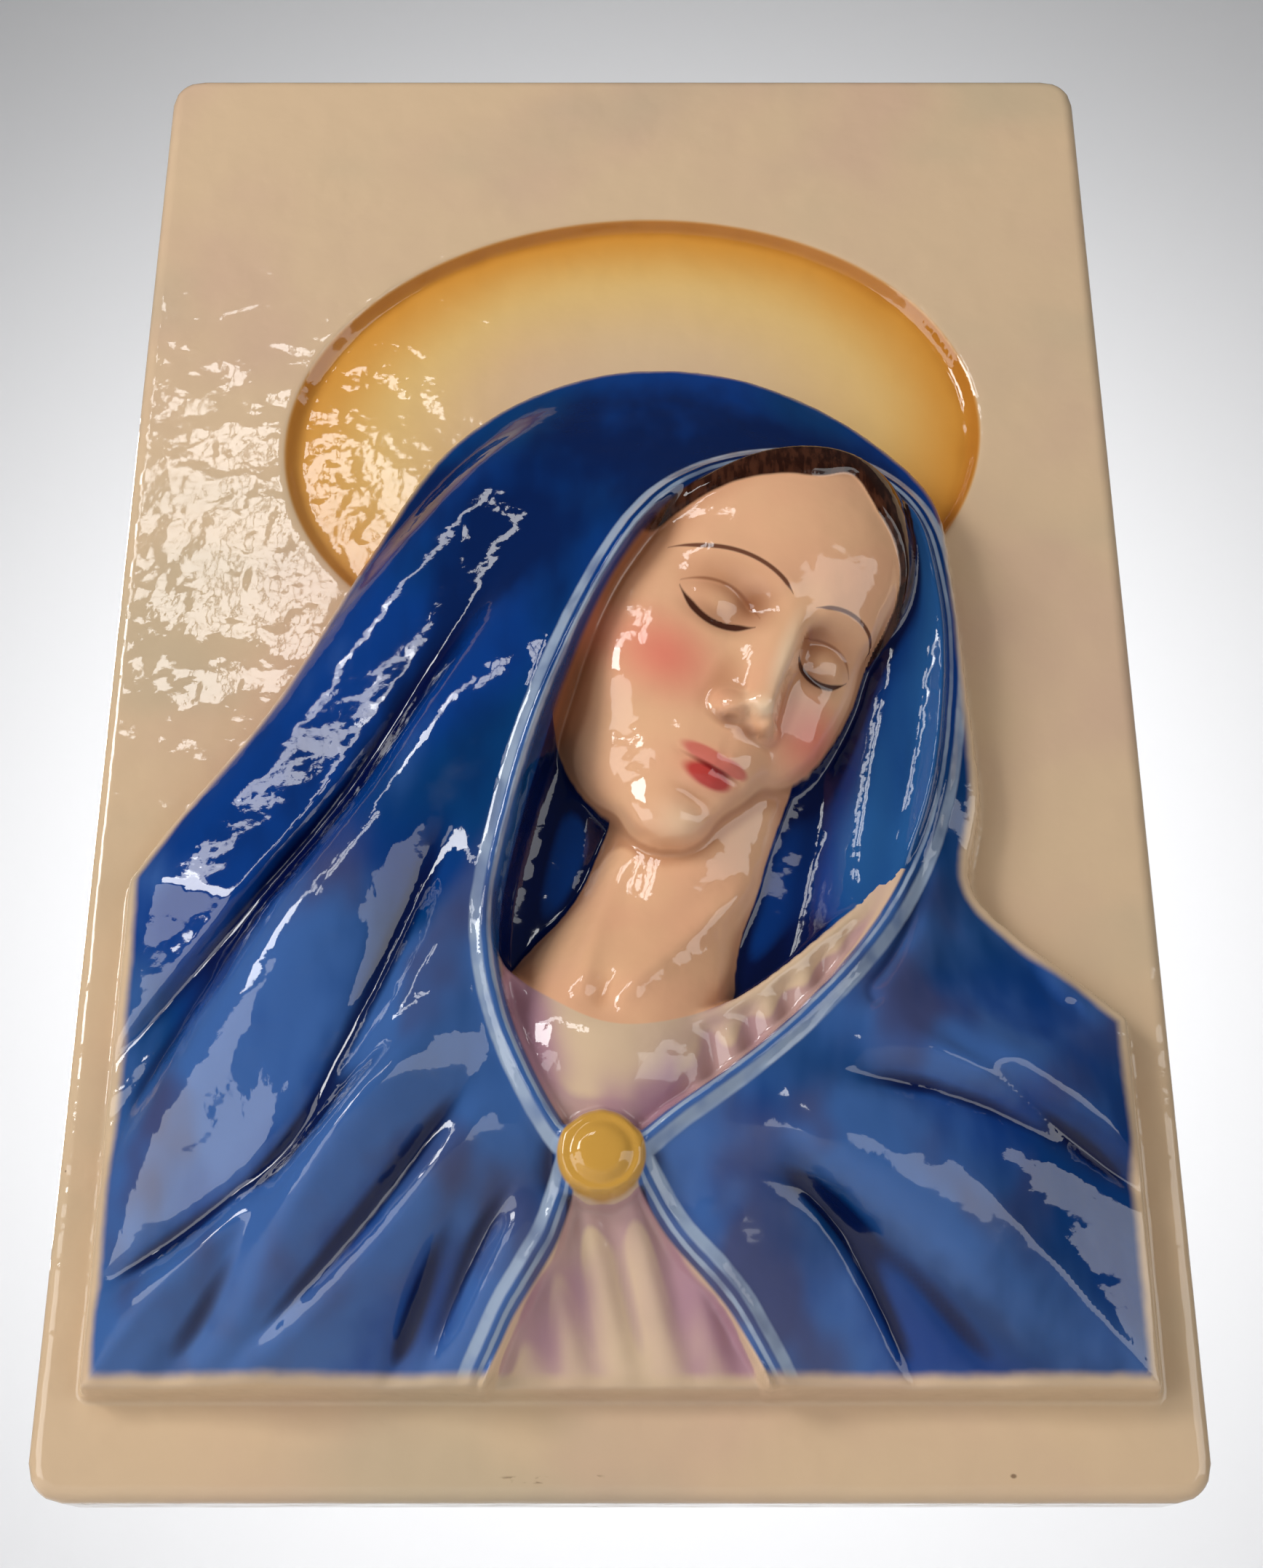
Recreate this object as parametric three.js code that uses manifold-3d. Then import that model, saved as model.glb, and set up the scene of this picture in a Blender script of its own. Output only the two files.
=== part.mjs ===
// A glazed ceramic wall plaque, cast in one piece: a rectangular slab with a
// sunk oval halo, and a veiled figure in relief in front of it.
//
// The plaque is modelled lying on its back. x runs to the right, y up the
// plaque and z out of its front, with z = 0 on the slab's front face and
// x = y = 0 at its middle. The group at the end stands it up: +X to the right,
// +Z up, front towards -Y, back on the plane y = 0. Units are millimetres.

import * as THREE from 'three';
import { mergeVertices } from 'three/addons/utils/BufferGeometryUtils.js';
import Module from 'manifold-3d';

const wasm = await Module();
wasm.setup();

// ---------------------------------------------------------------- dimensions

const SLAB = { width: 200, height: 300, thickness: 17, corner: 6.5, edge: 3 };

const BACK = { rim: 12, recess: 2, corner: 6 };
const HANGING_HOLE = { y: 124, radius: 5.5, depth: 10 };

const HALO = { x: 2.3, y: 57.5, across: 144, up: 108, tilt: 5, depth: 2.6, slope: 2.8 };

// The figure stops square at its sides and foot, and its top follows the veil.
const FIGURE = { left: -91, right: 91.5, foot: -133, sunk: 4, highest: 60 };
const VEIL_TOP = [
  [FIGURE.left, -42], [-84, -31], [-66, -6], [-50, 24], [-37, 46], [-22, 59], [-2, 66.5],
  [20, 66], [39, 58.5], [54, 47], [62.5, 36], [65, 18], [66.5, -4], [67.5, -26], [65, -43],
  [72, -52], [82, -60], [FIGURE.right, -68],
];

// Where the veil and mantle stand open: around the face, and below the clasp.
const CLASP = { x: -3, y: -97, radius: 7.5, ring: 5.2, rise: 5 };
const OPENING = [
  [-4, -96], [-16, -80], [-21.5, -58], [-18, -34], [-10, -10], [0, 12], [13, 29], [30, 38],
  [46, 39], [57, 31], [61.5, 14], [61, -8], [56, -32], [45, -54], [28, -74], [10, -88],
];
const LAP = [[-3, -94], [-11, -111], [-19, -124], [-24, -140], [27, -140], [20, -123], [8, -109]];
const HEM_RADIUS = 1.9;

// Rounded masses under the cloth: middle, half extents and height.
const MASSES = [
  { x: 20, y: 0, across: 86, up: 84, height: 28 },
  { x: -44, y: -84, across: 80, up: 92, height: 19 },
  { x: 4, y: -104, across: 92, up: 84, height: 22 },
  { x: 60, y: -100, across: 70, up: 76, height: 18 },
];

// The figure's edge stands low at the foot and high round the hood, between
// two levels. The cloth climbs from it by no more than slope, and folds die
// out towards it over fade. ROUNDING softens where forms meet.
const EDGE = { low: 6, high: 9.5, from: -40, to: 50, slope: 0.5, fade: 6 };
const ROUNDING = 6;

// Folds run in fans. Each fan gives the first and last fold by the curve's
// start, bend and end, and the folds between are spread evenly. A fold is
// steep on one side and soft on the other, as shares of its width.
const FOLD_SIDES = { steep: 0.55, soft: 1.25 };
const FOLD_FANS = [
  { count: 3, first: [[-6, 58], [-46, 22], [-104, -62]], last: [[-20, -26], [-34, -88], [-84, -156]],
    width: 9.5, height: 5.6 },
  { count: 3, first: [[-24, -66], [-52, -112], [-104, -128]], last: [[-11, -100], [-24, -118], [-34, -150]],
    width: 6.5, height: 4.6 },
  { count: 3, first: [[30, -78], [66, -72], [120, -110]], last: [[7, -102], [28, -120], [40, -170]],
    width: 8, height: 5 },
  { count: 2, first: [[66, -4], [67, -44], [80, -64]], last: [[60, -30], [57, -54], [46, -68]],
    width: 3.6, height: 2 },
];

// The head: turned to the right, bowed and tilted, and flattened into relief.
const HEAD = { x: 27, y: -8, yaw: 30, pitch: 10, roll: 25, squeeze: 0.6, base: 7 };
const HAIRLINE = { forward: 18.5, lean: 0.42, parting: 5, width: 5 };
const NECK = { from: [22, -12], to: [-3, -78], top: 15, foot: 18, squeeze: 0.85, base: 5 };
const COLLAR = [[-30, -50], [-15, -67], [0, -74.5], [18, -69], [42, -50]];
const TUNIC = { x: -2, half: 48, base: 7, height: 9, pleat: 8, depth: 0.9, behind: 1.2 };
const LINING = { base: 9, fold: 17, depth: 1.4, curl: 7, reach: 8 };

// How finely the reliefs are faceted.
const CLOTH_CELL = 5;
const INNER_CELL = 3.6;
const HEAD_FACETS = { around: 44, rings: 26, crowding: 1.35 };

// ------------------------------------------------------------------- solids

function solidOf(geometry) {
  const bare = geometry.index ? geometry.toNonIndexed() : geometry.clone();
  bare.deleteAttribute('normal');
  bare.deleteAttribute('uv');
  const merged = mergeVertices(bare, 1e-4);
  return new wasm.Manifold(new wasm.Mesh({
    numProp: 3,
    vertProperties: new Float32Array(merged.attributes.position.array),
    triVerts: new Uint32Array(merged.index.array),
  }));
}

function geometryOf(solid) {
  const mesh = solid.getMesh();
  const geometry = new THREE.BufferGeometry();
  geometry.setAttribute('position', new THREE.BufferAttribute(mesh.vertProperties, 3));
  geometry.setIndex(new THREE.BufferAttribute(mesh.triVerts, 1));
  geometry.computeVertexNormals();
  return geometry;
}

function prism(shape, from, to, curveSegments = 12) {
  const depth = to - from;
  const geometry = new THREE.ExtrudeGeometry(shape, { depth, bevelEnabled: false, curveSegments });
  return solidOf(geometry.translate(0, 0, from));
}

// A block with a flat underside whose top is height(x, y), in square cells.
function reliefBlock(box, cell, underside, height) {
  const size = box.getSize(new THREE.Vector2());
  const middle = box.getCenter(new THREE.Vector2());
  const geometry = new THREE.BoxGeometry(
    size.x, size.y, 1, Math.ceil(size.x / cell), Math.ceil(size.y / cell), 1);
  geometry.translate(middle.x, middle.y, 0);
  const place = geometry.attributes.position;
  for (let i = 0; i < place.count; i++) {
    place.setZ(i, place.getZ(i) < 0 ? underside : height(place.getX(i), place.getY(i)));
  }
  return solidOf(geometry);
}

// -------------------------------------------------------------------- curves

const points2 = (list) => list.map(([x, y]) => new THREE.Vector2(x, y));

function smoothLine(list, steps) {
  return new THREE.SplineCurve(points2(list)).getPoints(steps);
}

function smoothLoop(list, steps) {
  const curve = new THREE.CatmullRomCurve3(list.map(([x, y]) => new THREE.Vector3(x, y, 0)), true);
  return curve.getPoints(steps).slice(0, -1).map((p) => new THREE.Vector2(p.x, p.y));
}

// The nearest point of a line of points: its distance, how far along it lies
// as a share of the line, and on which side of the line (x, y) is.
function nearestOn(line, x, y) {
  let best = { distance: Infinity };
  for (let i = 0; i + 1 < line.length; i++) {
    const [a, b] = [line[i], line[i + 1]];
    const [dx, dy] = [b.x - a.x, b.y - a.y];
    const t = THREE.MathUtils.clamp(((x - a.x) * dx + (y - a.y) * dy) / (dx * dx + dy * dy), 0, 1);
    const distance = Math.hypot(x - a.x - t * dx, y - a.y - t * dy);
    if (distance < best.distance) {
      const side = Math.sign(dx * (y - a.y) - dy * (x - a.x));
      best = { distance, share: (i + t) / (line.length - 1), side };
    }
  }
  return best;
}

function isInside(loop, x, y) {
  let inside = false;
  for (let i = 0, j = loop.length - 1; i < loop.length; j = i++) {
    const [a, b] = [loop[i], loop[j]];
    if ((a.y > y) !== (b.y > y) && x < a.x + ((y - a.y) * (b.x - a.x)) / (b.y - a.y)) inside = !inside;
  }
  return inside;
}

// Depth inside a loop: how far (x, y) is from its edge, negative outside.
function depthIn(loop, x, y) {
  const { distance } = nearestOn([...loop, loop[0]], x, y);
  return isInside(loop, x, y) ? distance : -distance;
}

// Smooth versions of the larger and the smaller of two numbers.
function smoothMax(a, b, k) {
  const t = Math.max(k - Math.abs(a - b), 0) / k;
  return Math.max(a, b) + (t * t * k) / 4;
}

const smoothMin = (a, b, k) => -smoothMax(-a, -b, k);

// ---------------------------------------------------------------------- slab

function roundedRectangle(width, height, radius) {
  const [x, y] = [width / 2, height / 2];
  const shape = new THREE.Shape();
  shape.moveTo(-x + radius, -y);
  shape.lineTo(x - radius, -y);
  shape.absarc(x - radius, -y + radius, radius, -Math.PI / 2, 0);
  shape.lineTo(x, y - radius);
  shape.absarc(x - radius, y - radius, radius, 0, Math.PI / 2);
  shape.lineTo(-x + radius, y);
  shape.absarc(-x + radius, y - radius, radius, Math.PI / 2, Math.PI);
  shape.lineTo(-x, -y + radius);
  shape.absarc(-x + radius, -y + radius, radius, Math.PI, 1.5 * Math.PI);
  return shape;
}

function slabBody() {
  const { width, height, thickness, corner, edge } = SLAB;
  const shape = roundedRectangle(width - 2 * edge, height - 2 * edge, corner - edge);
  const geometry = new THREE.ExtrudeGeometry(shape, {
    depth: thickness - 2 * edge, curveSegments: 5,
    bevelEnabled: true, bevelSize: edge, bevelThickness: edge, bevelSegments: 4,
  });
  return solidOf(geometry.translate(0, 0, edge - thickness));
}

function haloRecess() {
  const above = 1;
  const slope = (2 * HALO.slope) / (HALO.across + HALO.up) * 2;
  const rim = 1 + (slope * above) / HALO.depth;
  const geometry = new THREE.CylinderGeometry(rim, 1 - slope, HALO.depth + above, 72);
  geometry.rotateX(Math.PI / 2);
  geometry.scale(HALO.across / 2, HALO.up / 2, 1);
  geometry.rotateZ(THREE.MathUtils.degToRad(HALO.tilt));
  geometry.translate(HALO.x, HALO.y, (above - HALO.depth) / 2);
  return solidOf(geometry);
}

function backRecess() {
  const [width, height] = [SLAB.width - 2 * BACK.rim, SLAB.height - 2 * BACK.rim];
  const back = -SLAB.thickness;
  return prism(roundedRectangle(width, height, BACK.corner), back - 1, back + BACK.recess);
}

function hangingHole() {
  const below = 1;
  const geometry = new THREE.CylinderGeometry(
    HANGING_HOLE.radius, HANGING_HOLE.radius, HANGING_HOLE.depth + below, 24);
  geometry.rotateX(Math.PI / 2);
  geometry.translate(0, HANGING_HOLE.y, -SLAB.thickness + (HANGING_HOLE.depth - below) / 2);
  return solidOf(geometry);
}

// --------------------------------------------------------------------- cloth

const outline = [
  ...smoothLine(VEIL_TOP, 64),
  new THREE.Vector2(FIGURE.right, FIGURE.foot),
  new THREE.Vector2(FIGURE.left, FIGURE.foot),
];
const opening = smoothLoop(OPENING, 64);
const lap = smoothLoop(LAP, 40);

function foldLines() {
  const lines = [];
  for (const { count, first, last, width, height } of FOLD_FANS) {
    for (let i = 0; i < count; i++) {
      const [start, bend, end] = first.map((p, k) => new THREE.Vector2(...p)
        .lerp(new THREE.Vector2(...last[k]), i / (count - 1)));
      const line = new THREE.QuadraticBezierCurve(start, bend, end).getPoints(14);
      lines.push({ line, width, height });
    }
  }
  return lines;
}

const folds = foldLines();

function foldHeight(x, y) {
  let total = 0;
  for (const { line, width, height } of folds) {
    const { distance, share, side } = nearestOn(line, x, y);
    const spread = width * (side < 0 ? FOLD_SIDES.steep : FOLD_SIDES.soft);
    const grow = THREE.MathUtils.smoothstep(share, 0, 0.3);
    total += height * grow * Math.exp(-((distance / spread) ** 2));
  }
  return total;
}

function massHeight(x, y) {
  let top = 0;
  for (const mass of MASSES) {
    const q = 1 - ((x - mass.x) / mass.across) ** 2 - ((y - mass.y) / mass.up) ** 2;
    top = smoothMax(top, mass.height * Math.max(q, 0) ** 0.7, ROUNDING);
  }
  return top;
}

function edgeHeight(y) {
  return THREE.MathUtils.lerp(EDGE.low, EDGE.high, THREE.MathUtils.smoothstep(y, EDGE.from, EDGE.to));
}

// A rounded form that rises from the figure's edge no more steeply than EDGE.slope.
const fromEdge = (form, depth) => smoothMin(form, EDGE.slope * depth, ROUNDING);

function clothHeight(x, y) {
  const depth = depthIn(outline, x, y);
  const fade = 1 - Math.exp(-Math.max(depth, 0) / EDGE.fade);
  return edgeHeight(y) + fromEdge(massHeight(x, y), depth) + foldHeight(x, y) * fade;
}

function clothBody() {
  const box = new THREE.Box2().setFromPoints(outline).expandByScalar(1);
  return reliefBlock(box, CLOTH_CELL, -FIGURE.sunk, clothHeight)
    .intersect(prism(new THREE.Shape(outline), -FIGURE.sunk - 1, FIGURE.highest));
}

// A hem is a round bead that lies on the cloth's edge.
function hem(line) {
  const path = new THREE.CatmullRomCurve3(line.map(([x, y]) => new THREE.Vector3(x, y, clothHeight(x, y))));
  const section = new THREE.Shape().absarc(0, 0, HEM_RADIUS, 0, 2 * Math.PI);
  return solidOf(new THREE.ExtrudeGeometry(section, {
    steps: 3 * line.length, curveSegments: 3, bevelEnabled: false, extrudePath: path }));
}

function clasp() {
  const { x, y, radius, ring, rise } = CLASP;
  const profile = points2([
    [0, -12], [radius, -12], [radius, rise - 2], [radius - 1, rise - 0.8], [ring + 0.6, rise - 0.6],
    [ring, rise - 1.2], [ring - 1, rise - 0.5], [2.4, rise + 0.9], [0, rise + 1.2],
  ]);
  const geometry = new THREE.LatheGeometry(profile, 20).rotateX(Math.PI / 2);
  return solidOf(geometry.translate(x, y, clothHeight(x, y)));
}

// ------------------------------------------------------------- head and neck

const subtract = (p, q) => p.map((value, i) => value - q[i]);

function ellipsoid(p, centre, radii) {
  const q = subtract(p, centre).map((value, i) => value / radii[i]);
  const near = Math.hypot(...q);
  return (near * (near - 1)) / Math.max(Math.hypot(...q.map((value, i) => value / radii[i])), 1e-6);
}

// The distance to a rod from a to b with round ends, thick ra and rb.
function rod(p, a, b, ra, rb) {
  const [ap, ab] = [subtract(p, a), subtract(b, a)];
  const dot = (m, n) => m[0] * n[0] + m[1] * n[1] + m[2] * n[2];
  const t = THREE.MathUtils.clamp(dot(ap, ab) / dot(ab, ab), 0, 1);
  return Math.hypot(...ap.map((value, i) => value - t * ab[i])) - ra - (rb - ra) * t;
}

// A plain face on even proportions, as a distance in the head's own frame:
// x across, y up from the eye line, z forward, 92 from chin to crown. Its
// right and left halves are alike.
function headDistance(p) {
  const half = [Math.abs(p[0]), p[1], p[2]];
  const join = (d, part, k) => smoothMin(d, part, k);
  const carve = (d, part, k) => smoothMax(d, -part, k);
  let d = ellipsoid(p, [0, 11, -1], [31, 36, 37]);
  d = join(d, ellipsoid(p, [0, 17, 10], [25, 24, 27.5]), 8);            // forehead
  d = join(d, ellipsoid(p, [0, -9, 12], [25.5, 35, 26]), 8);            // face
  d = join(d, ellipsoid(half, [18.5, -7, 16], [9, 11, 13]), 8);         // cheekbones
  d = join(d, ellipsoid(half, [12.5, -16.5, 25], [10.5, 11.5, 11]), 7); // cheeks
  d = join(d, ellipsoid(p, [0, -31, 22.5], [14.5, 13.5, 18.5]), 7);     // jaw
  d = join(d, ellipsoid(p, [0, -39.6, 34], [7.4, 6.4, 7.6]), 5);        // chin
  d = join(d, ellipsoid(p, [0, -25.5, 33], [10.5, 8.5, 9.2]), 5);       // round the mouth
  d = join(d, rod(half, [5, 8.2, 35.2], [17, 9, 30], 1.5, 1.5), 6);     // brows
  d = carve(d, ellipsoid(half, [12, 1.6, 39.6], [8, 5, 6.4]), 5.5);     // eye sockets
  d = join(d, ellipsoid(half, [12.2, -0.6, 28.2], [6.7, 6.7, 6.7]), 1.6); // lowered lids
  d = join(d, ellipsoid(p, [0, -8.5, 34], [5.2, 14.5, 8.6]), 4);        // nose
  d = join(d, rod(p, [0, 7.5, 35.6], [0, -13.2, 45.6], 2.2, 2.7), 3);
  d = join(d, ellipsoid(half, [3.6, -16.4, 41.4], [2.6, 2.5, 4.2]), 2.2);
  d = join(d, rod(half, [1.2, -26, 41.6], [6.8, -28, 38.6], 2, 1), 1.6); // lips
  d = join(d, rod(half, [1, -30.6, 40.6], [5.6, -29.6, 38.6], 2.3, 1.2), 1.6);
  return carve(d, rod(half, [0, -28.5, 44], [7.4, -28.5, 39.8], 0.5, 0.3), 1);
}

// A smooth cap of hair behind the hairline, which runs from over the forehead
// down in front of the ears.
function hairDistance(p) {
  const cap = smoothMin(ellipsoid(p, [0, 11, -1], [32.5, 38, 38.6]),
    ellipsoid(p, [0, 17, 10], [26.8, 26, 29]), 8);
  const parting = HAIRLINE.parting * Math.exp(-((p[0] / HAIRLINE.width) ** 2));
  return Math.max(cap, p[2] - HAIRLINE.forward - HAIRLINE.lean * p[1] + parting);
}

const headTurn = new THREE.Matrix4().makeRotationZ(THREE.MathUtils.degToRad(-HEAD.roll))
  .multiply(new THREE.Matrix4().makeRotationY(THREE.MathUtils.degToRad(HEAD.yaw)))
  .multiply(new THREE.Matrix4().makeRotationX(THREE.MathUtils.degToRad(HEAD.pitch)));
const faceMiddle = new THREE.Vector3(0, -6, 40).applyMatrix4(headTurn);

// The head's surface, found along rays that spread from inside it. The rings
// crowd together at the front of the face.
function headBody() {
  const { around, rings, crowding } = HEAD_FACETS;
  const geometry = new THREE.SphereGeometry(1, around, rings).rotateX(Math.PI / 2);
  const place = geometry.attributes.position;
  const heart = new THREE.Vector3(0, -4, 4);
  const p = new THREE.Vector3();
  for (let i = 0; i < place.count; i++) {
    const ray = new THREE.Vector3().fromBufferAttribute(place, i);
    const angle = Math.PI * (Math.acos(THREE.MathUtils.clamp(ray.z, -1, 1)) / Math.PI) ** crowding;
    const spin = Math.atan2(ray.y, ray.x);
    ray.set(Math.sin(angle) * Math.cos(spin), Math.sin(angle) * Math.sin(spin), Math.cos(angle));
    let reach = 62;
    for (let step = 0; step < 60; step++) {
      p.copy(ray).multiplyScalar(reach).add(heart);
      reach -= 0.8 * Math.min(headDistance(p.toArray()), hairDistance(p.toArray()));
    }
    place.setXYZ(i, ...p.toArray());
  }
  geometry.applyMatrix4(headTurn);
  geometry.translate(HEAD.x - faceMiddle.x, HEAD.y - faceMiddle.y, 0);
  geometry.scale(1, 1, HEAD.squeeze);
  return solidOf(geometry.translate(0, 0, HEAD.base));
}

function neckBody() {
  const [from, to] = points2([NECK.from, NECK.to]);
  const along = to.clone().sub(from);
  const geometry = new THREE.CylinderGeometry(NECK.foot, NECK.top, along.length(), 24);
  geometry.rotateZ(along.angle() - Math.PI / 2);
  geometry.scale(1, 1, NECK.squeeze);
  return solidOf(geometry.translate((from.x + to.x) / 2, (from.y + to.y) / 2, NECK.base));
}

// The lining of the veil hangs in soft upright folds, and curls forward to
// meet the hem.
function liningHeight(x, y) {
  const hanging = LINING.depth * Math.cos((2 * Math.PI * (x - 0.2 * y)) / LINING.fold);
  const curl = LINING.curl * Math.exp(-Math.max(depthIn(opening, x, y), 0) / LINING.reach);
  return LINING.base + hanging + curl;
}

// The tunic is rounded over the chest and falls in upright pleats.
function tunicHeight(x, y) {
  const across = (x - TUNIC.x) / TUNIC.half;
  const pleats = TUNIC.depth * Math.cos((2 * Math.PI * (x + 0.25 * y)) / TUNIC.pleat);
  const chest = TUNIC.base + TUNIC.height * Math.sqrt(Math.max(1 - across * across, 0));
  return edgeHeight(y) - TUNIC.behind + fromEdge(chest, depthIn(outline, x, y)) + pleats;
}

const collar = smoothLine(COLLAR, 24);

function tunicBody() {
  const [left, right] = [collar[0].x, collar.at(-1).x];
  const below = FIGURE.foot - 5;
  const shape = new THREE.Shape([...collar, ...points2([[right, below], [left, below]])]);
  const box = new THREE.Box2().setFromPoints(shape.getPoints()).expandByScalar(1);
  return reliefBlock(box, INNER_CELL, -FIGURE.sunk, tunicHeight)
    .intersect(prism(shape, -FIGURE.sunk, FIGURE.highest));
}

// What shows in a loop, and a little way in under the cloth round it.
function shownIn(loop) {
  const middle = new THREE.Box2().setFromPoints(loop).getCenter(new THREE.Vector2());
  const under = loop.map((p) => p.clone().sub(middle).multiplyScalar(1.03).add(middle));
  return prism(new THREE.Shape(under), -1, FIGURE.highest);
}

function figureBody() {
  const behind = new THREE.Box2().setFromPoints(opening).expandByScalar(2);
  const bust = reliefBlock(behind, INNER_CELL, -FIGURE.sunk, liningHeight)
    .add(neckBody())
    .add(headBody())
    .intersect(shownIn(opening));
  const chest = tunicBody()
    .intersect(shownIn(opening).add(shownIn(lap)))
    .intersect(prism(new THREE.Shape(outline), -1, FIGURE.highest));
  return bust.add(chest);
}

// -------------------------------------------------------------------- plaque

// The outer skin alone, which fills the small pockets closed in under the hems.
const filled = (solid) => solid.decompose().reduce((a, b) => (a.volume() > b.volume() ? a : b));

function plaqueBody() {
  const openings = prism(new THREE.Shape(opening), 0, FIGURE.highest)
    .add(prism(new THREE.Shape(lap), 0, FIGURE.highest));
  const cloth = clothBody().subtract(openings);
  const [leftLap, rightLap] = [LAP.slice(0, 3), [LAP[0], ...LAP.slice(5).reverse()]];
  const front = slabBody().subtract(haloRecess())
    .add(cloth)
    .add(figureBody())
    .add(hem(OPENING))
    .add(hem([...leftLap, [-22, FIGURE.foot]]))
    .add(hem([...rightLap, [24, FIGURE.foot]]))
    .add(clasp());
  return filled(front.subtract(backRecess()).subtract(hangingHole()));
}

const glaze = new THREE.MeshStandardMaterial({ color: 0xd9c0a0, roughness: 0.15, metalness: 0 });
const plaque = new THREE.Mesh(geometryOf(plaqueBody()), glaze);
plaque.name = 'plaque';

// Upright, with the origin on the back's rim at the middle of its top.
const part = new THREE.Group();
part.add(plaque);
part.rotation.x = Math.PI / 2;
part.position.set(0, -SLAB.thickness, -(SLAB.height - BACK.rim) / 2);

export default part;
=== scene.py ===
"""A glazed ceramic wall plaque: a cream slab with a sunk oval halo, and a veiled figure in
relief, painted in cobalt blue, flesh and amber under a thick clear glaze.

The plaque is worked out lying on its back, in millimetres: u to the right, v up the plaque
and h out of its front, from the middle of the slab's front face.
"""
import math

import bpy
import numpy as np
from mathutils import Matrix, Vector


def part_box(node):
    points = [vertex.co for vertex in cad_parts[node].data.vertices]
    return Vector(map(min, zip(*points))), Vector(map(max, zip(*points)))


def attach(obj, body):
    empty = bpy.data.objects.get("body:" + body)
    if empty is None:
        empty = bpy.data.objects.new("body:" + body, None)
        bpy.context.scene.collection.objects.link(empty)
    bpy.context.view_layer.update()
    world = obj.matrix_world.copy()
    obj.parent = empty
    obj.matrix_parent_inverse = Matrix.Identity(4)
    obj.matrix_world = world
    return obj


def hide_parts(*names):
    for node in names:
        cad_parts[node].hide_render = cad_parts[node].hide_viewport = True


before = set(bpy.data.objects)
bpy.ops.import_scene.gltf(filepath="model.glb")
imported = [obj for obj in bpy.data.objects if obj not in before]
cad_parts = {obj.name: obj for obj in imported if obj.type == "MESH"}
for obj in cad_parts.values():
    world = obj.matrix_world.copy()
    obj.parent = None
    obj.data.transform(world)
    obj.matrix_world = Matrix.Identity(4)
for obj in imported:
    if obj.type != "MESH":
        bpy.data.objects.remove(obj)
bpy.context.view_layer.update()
LOW, HIGH = (np.array(corner) * 1000 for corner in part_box("plaque"))

bl_info = {
    "name": "Glazed wall plaque",
    "version": (1, 0, 0),
    "blender": (4, 5, 0),
    "location": "View3D > Sidebar > Plaque",
    "description": "Models and glazes a ceramic wall plaque with a veiled figure in relief",
    "category": "Object",
}

# ------------------------------------------------------------------ the casting's own sizes

SLAB_THICKNESS, SLAB_CORNER, SLAB_EDGE = 17.0, 6.5, 3.0
BACK_RIM, BACK_RECESS, BACK_CORNER = 12.0, 2.0, 6.0
HOLE_UP, HOLE_RADIUS, HOLE_DEPTH = 124.0, 5.5, 10.0
SLAB_WIDTH = HIGH[0] - LOW[0]
SLAB_HEIGHT = HIGH[2] - LOW[2]
MIDDLE_UP = (HIGH[2] + LOW[2]) / 2

HALO_MIDDLE, HALO_HALF, HALO_TILT, HALO_SLOPE = (2.3, 57.5), (72, 54), 5, 2.8
LEFT, RIGHT, FOOT = -91, 91.5, -133
VEIL_TOP = [(LEFT, -42), (-84, -31), (-66, -6), (-50, 24), (-37, 46), (-22, 59), (-2, 66.5),
            (20, 66), (39, 58.5), (54, 47), (62.5, 36), (65, 18), (66.5, -4), (67.5, -26), (65, -43),
            (72, -52), (82, -60), (RIGHT, -68)]
OPENING = [(-4, -96), (-16, -80), (-21.5, -58), (-18, -34), (-10, -10), (0, 12), (13, 29), (30, 38),
           (46, 39), (57, 31), (61.5, 14), (61, -8), (56, -32), (45, -54), (28, -74), (10, -88)]
LAP = [(-3, -94), (-11, -111), (-19, -124), (-24, -140), (27, -140), (20, -123), (8, -109)]
CLASP_MIDDLE, CLASP_RADIUS, CLASP_RISE, CLASP_CROWN = (-3, -97), 7.5, 5.0, 2.4
# The clasp's dome, and the ring cut into it: its radius, depth and width.
CLASP_DOME, CLASP_RING, RING_DEPTH, RING_WIDTH = 2.6, 5.2, 0.9, 0.7
# Rounded masses under the cloth: middle, half extents, height. They flow into each other and
# into the cloth's slope at the edge over ROUNDING.
ROUNDING = 6
MASSES = [((20, 0), (86, 84), 28), ((-44, -84), (80, 92), 19),
          ((4, -104), (92, 84), 22), ((60, -100), (70, 76), 18)]
# How high the figure's edge stands, low and round the hood, between which v it rises, and
# how steeply the cloth may climb from it. Folds die out towards the edge over FOLD_CLIMB.
EDGE_LOW, EDGE_HOOD, EDGE_RISES = 6.0, 9.5, (-40, 50)
CLOTH_SLOPE, FOLD_CLIMB = 0.5, 6.0
# Where the rolled hem runs, outside the opening, and how wide it is.
HEM_OFF, HEM_WIDTH = 1.7, 1.5
# Fans of folds: how many, the first and the last fold's start, bend and end, width, height.
FOLD_FANS = [
    (3, [(-6, 58), (-46, 22), (-104, -62)], [(-20, -26), (-34, -88), (-84, -156)], 9.5, 5.6),
    (3, [(-24, -66), (-52, -112), (-104, -128)], [(-11, -100), (-24, -118), (-34, -150)], 6.5, 4.6),
    (3, [(30, -78), (66, -72), (120, -110)], [(7, -102), (28, -120), (40, -170)], 8.0, 5.0),
    (2, [(66, -4), (67, -44), (80, -64)], [(60, -30), (57, -54), (46, -68)], 3.6, 2.0),
]
# A fold's width on its steep and its soft side, and the valley at the steep side's foot: its
# place and width as shares of the fold's width, and its depth as a share of the height.
FOLD_STEEP, FOLD_SOFT = 0.55, 1.25
VALLEY_OFF, VALLEY_WIDTH, VALLEY_DEPTH = 0.85, 0.28, 0.3
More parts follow.
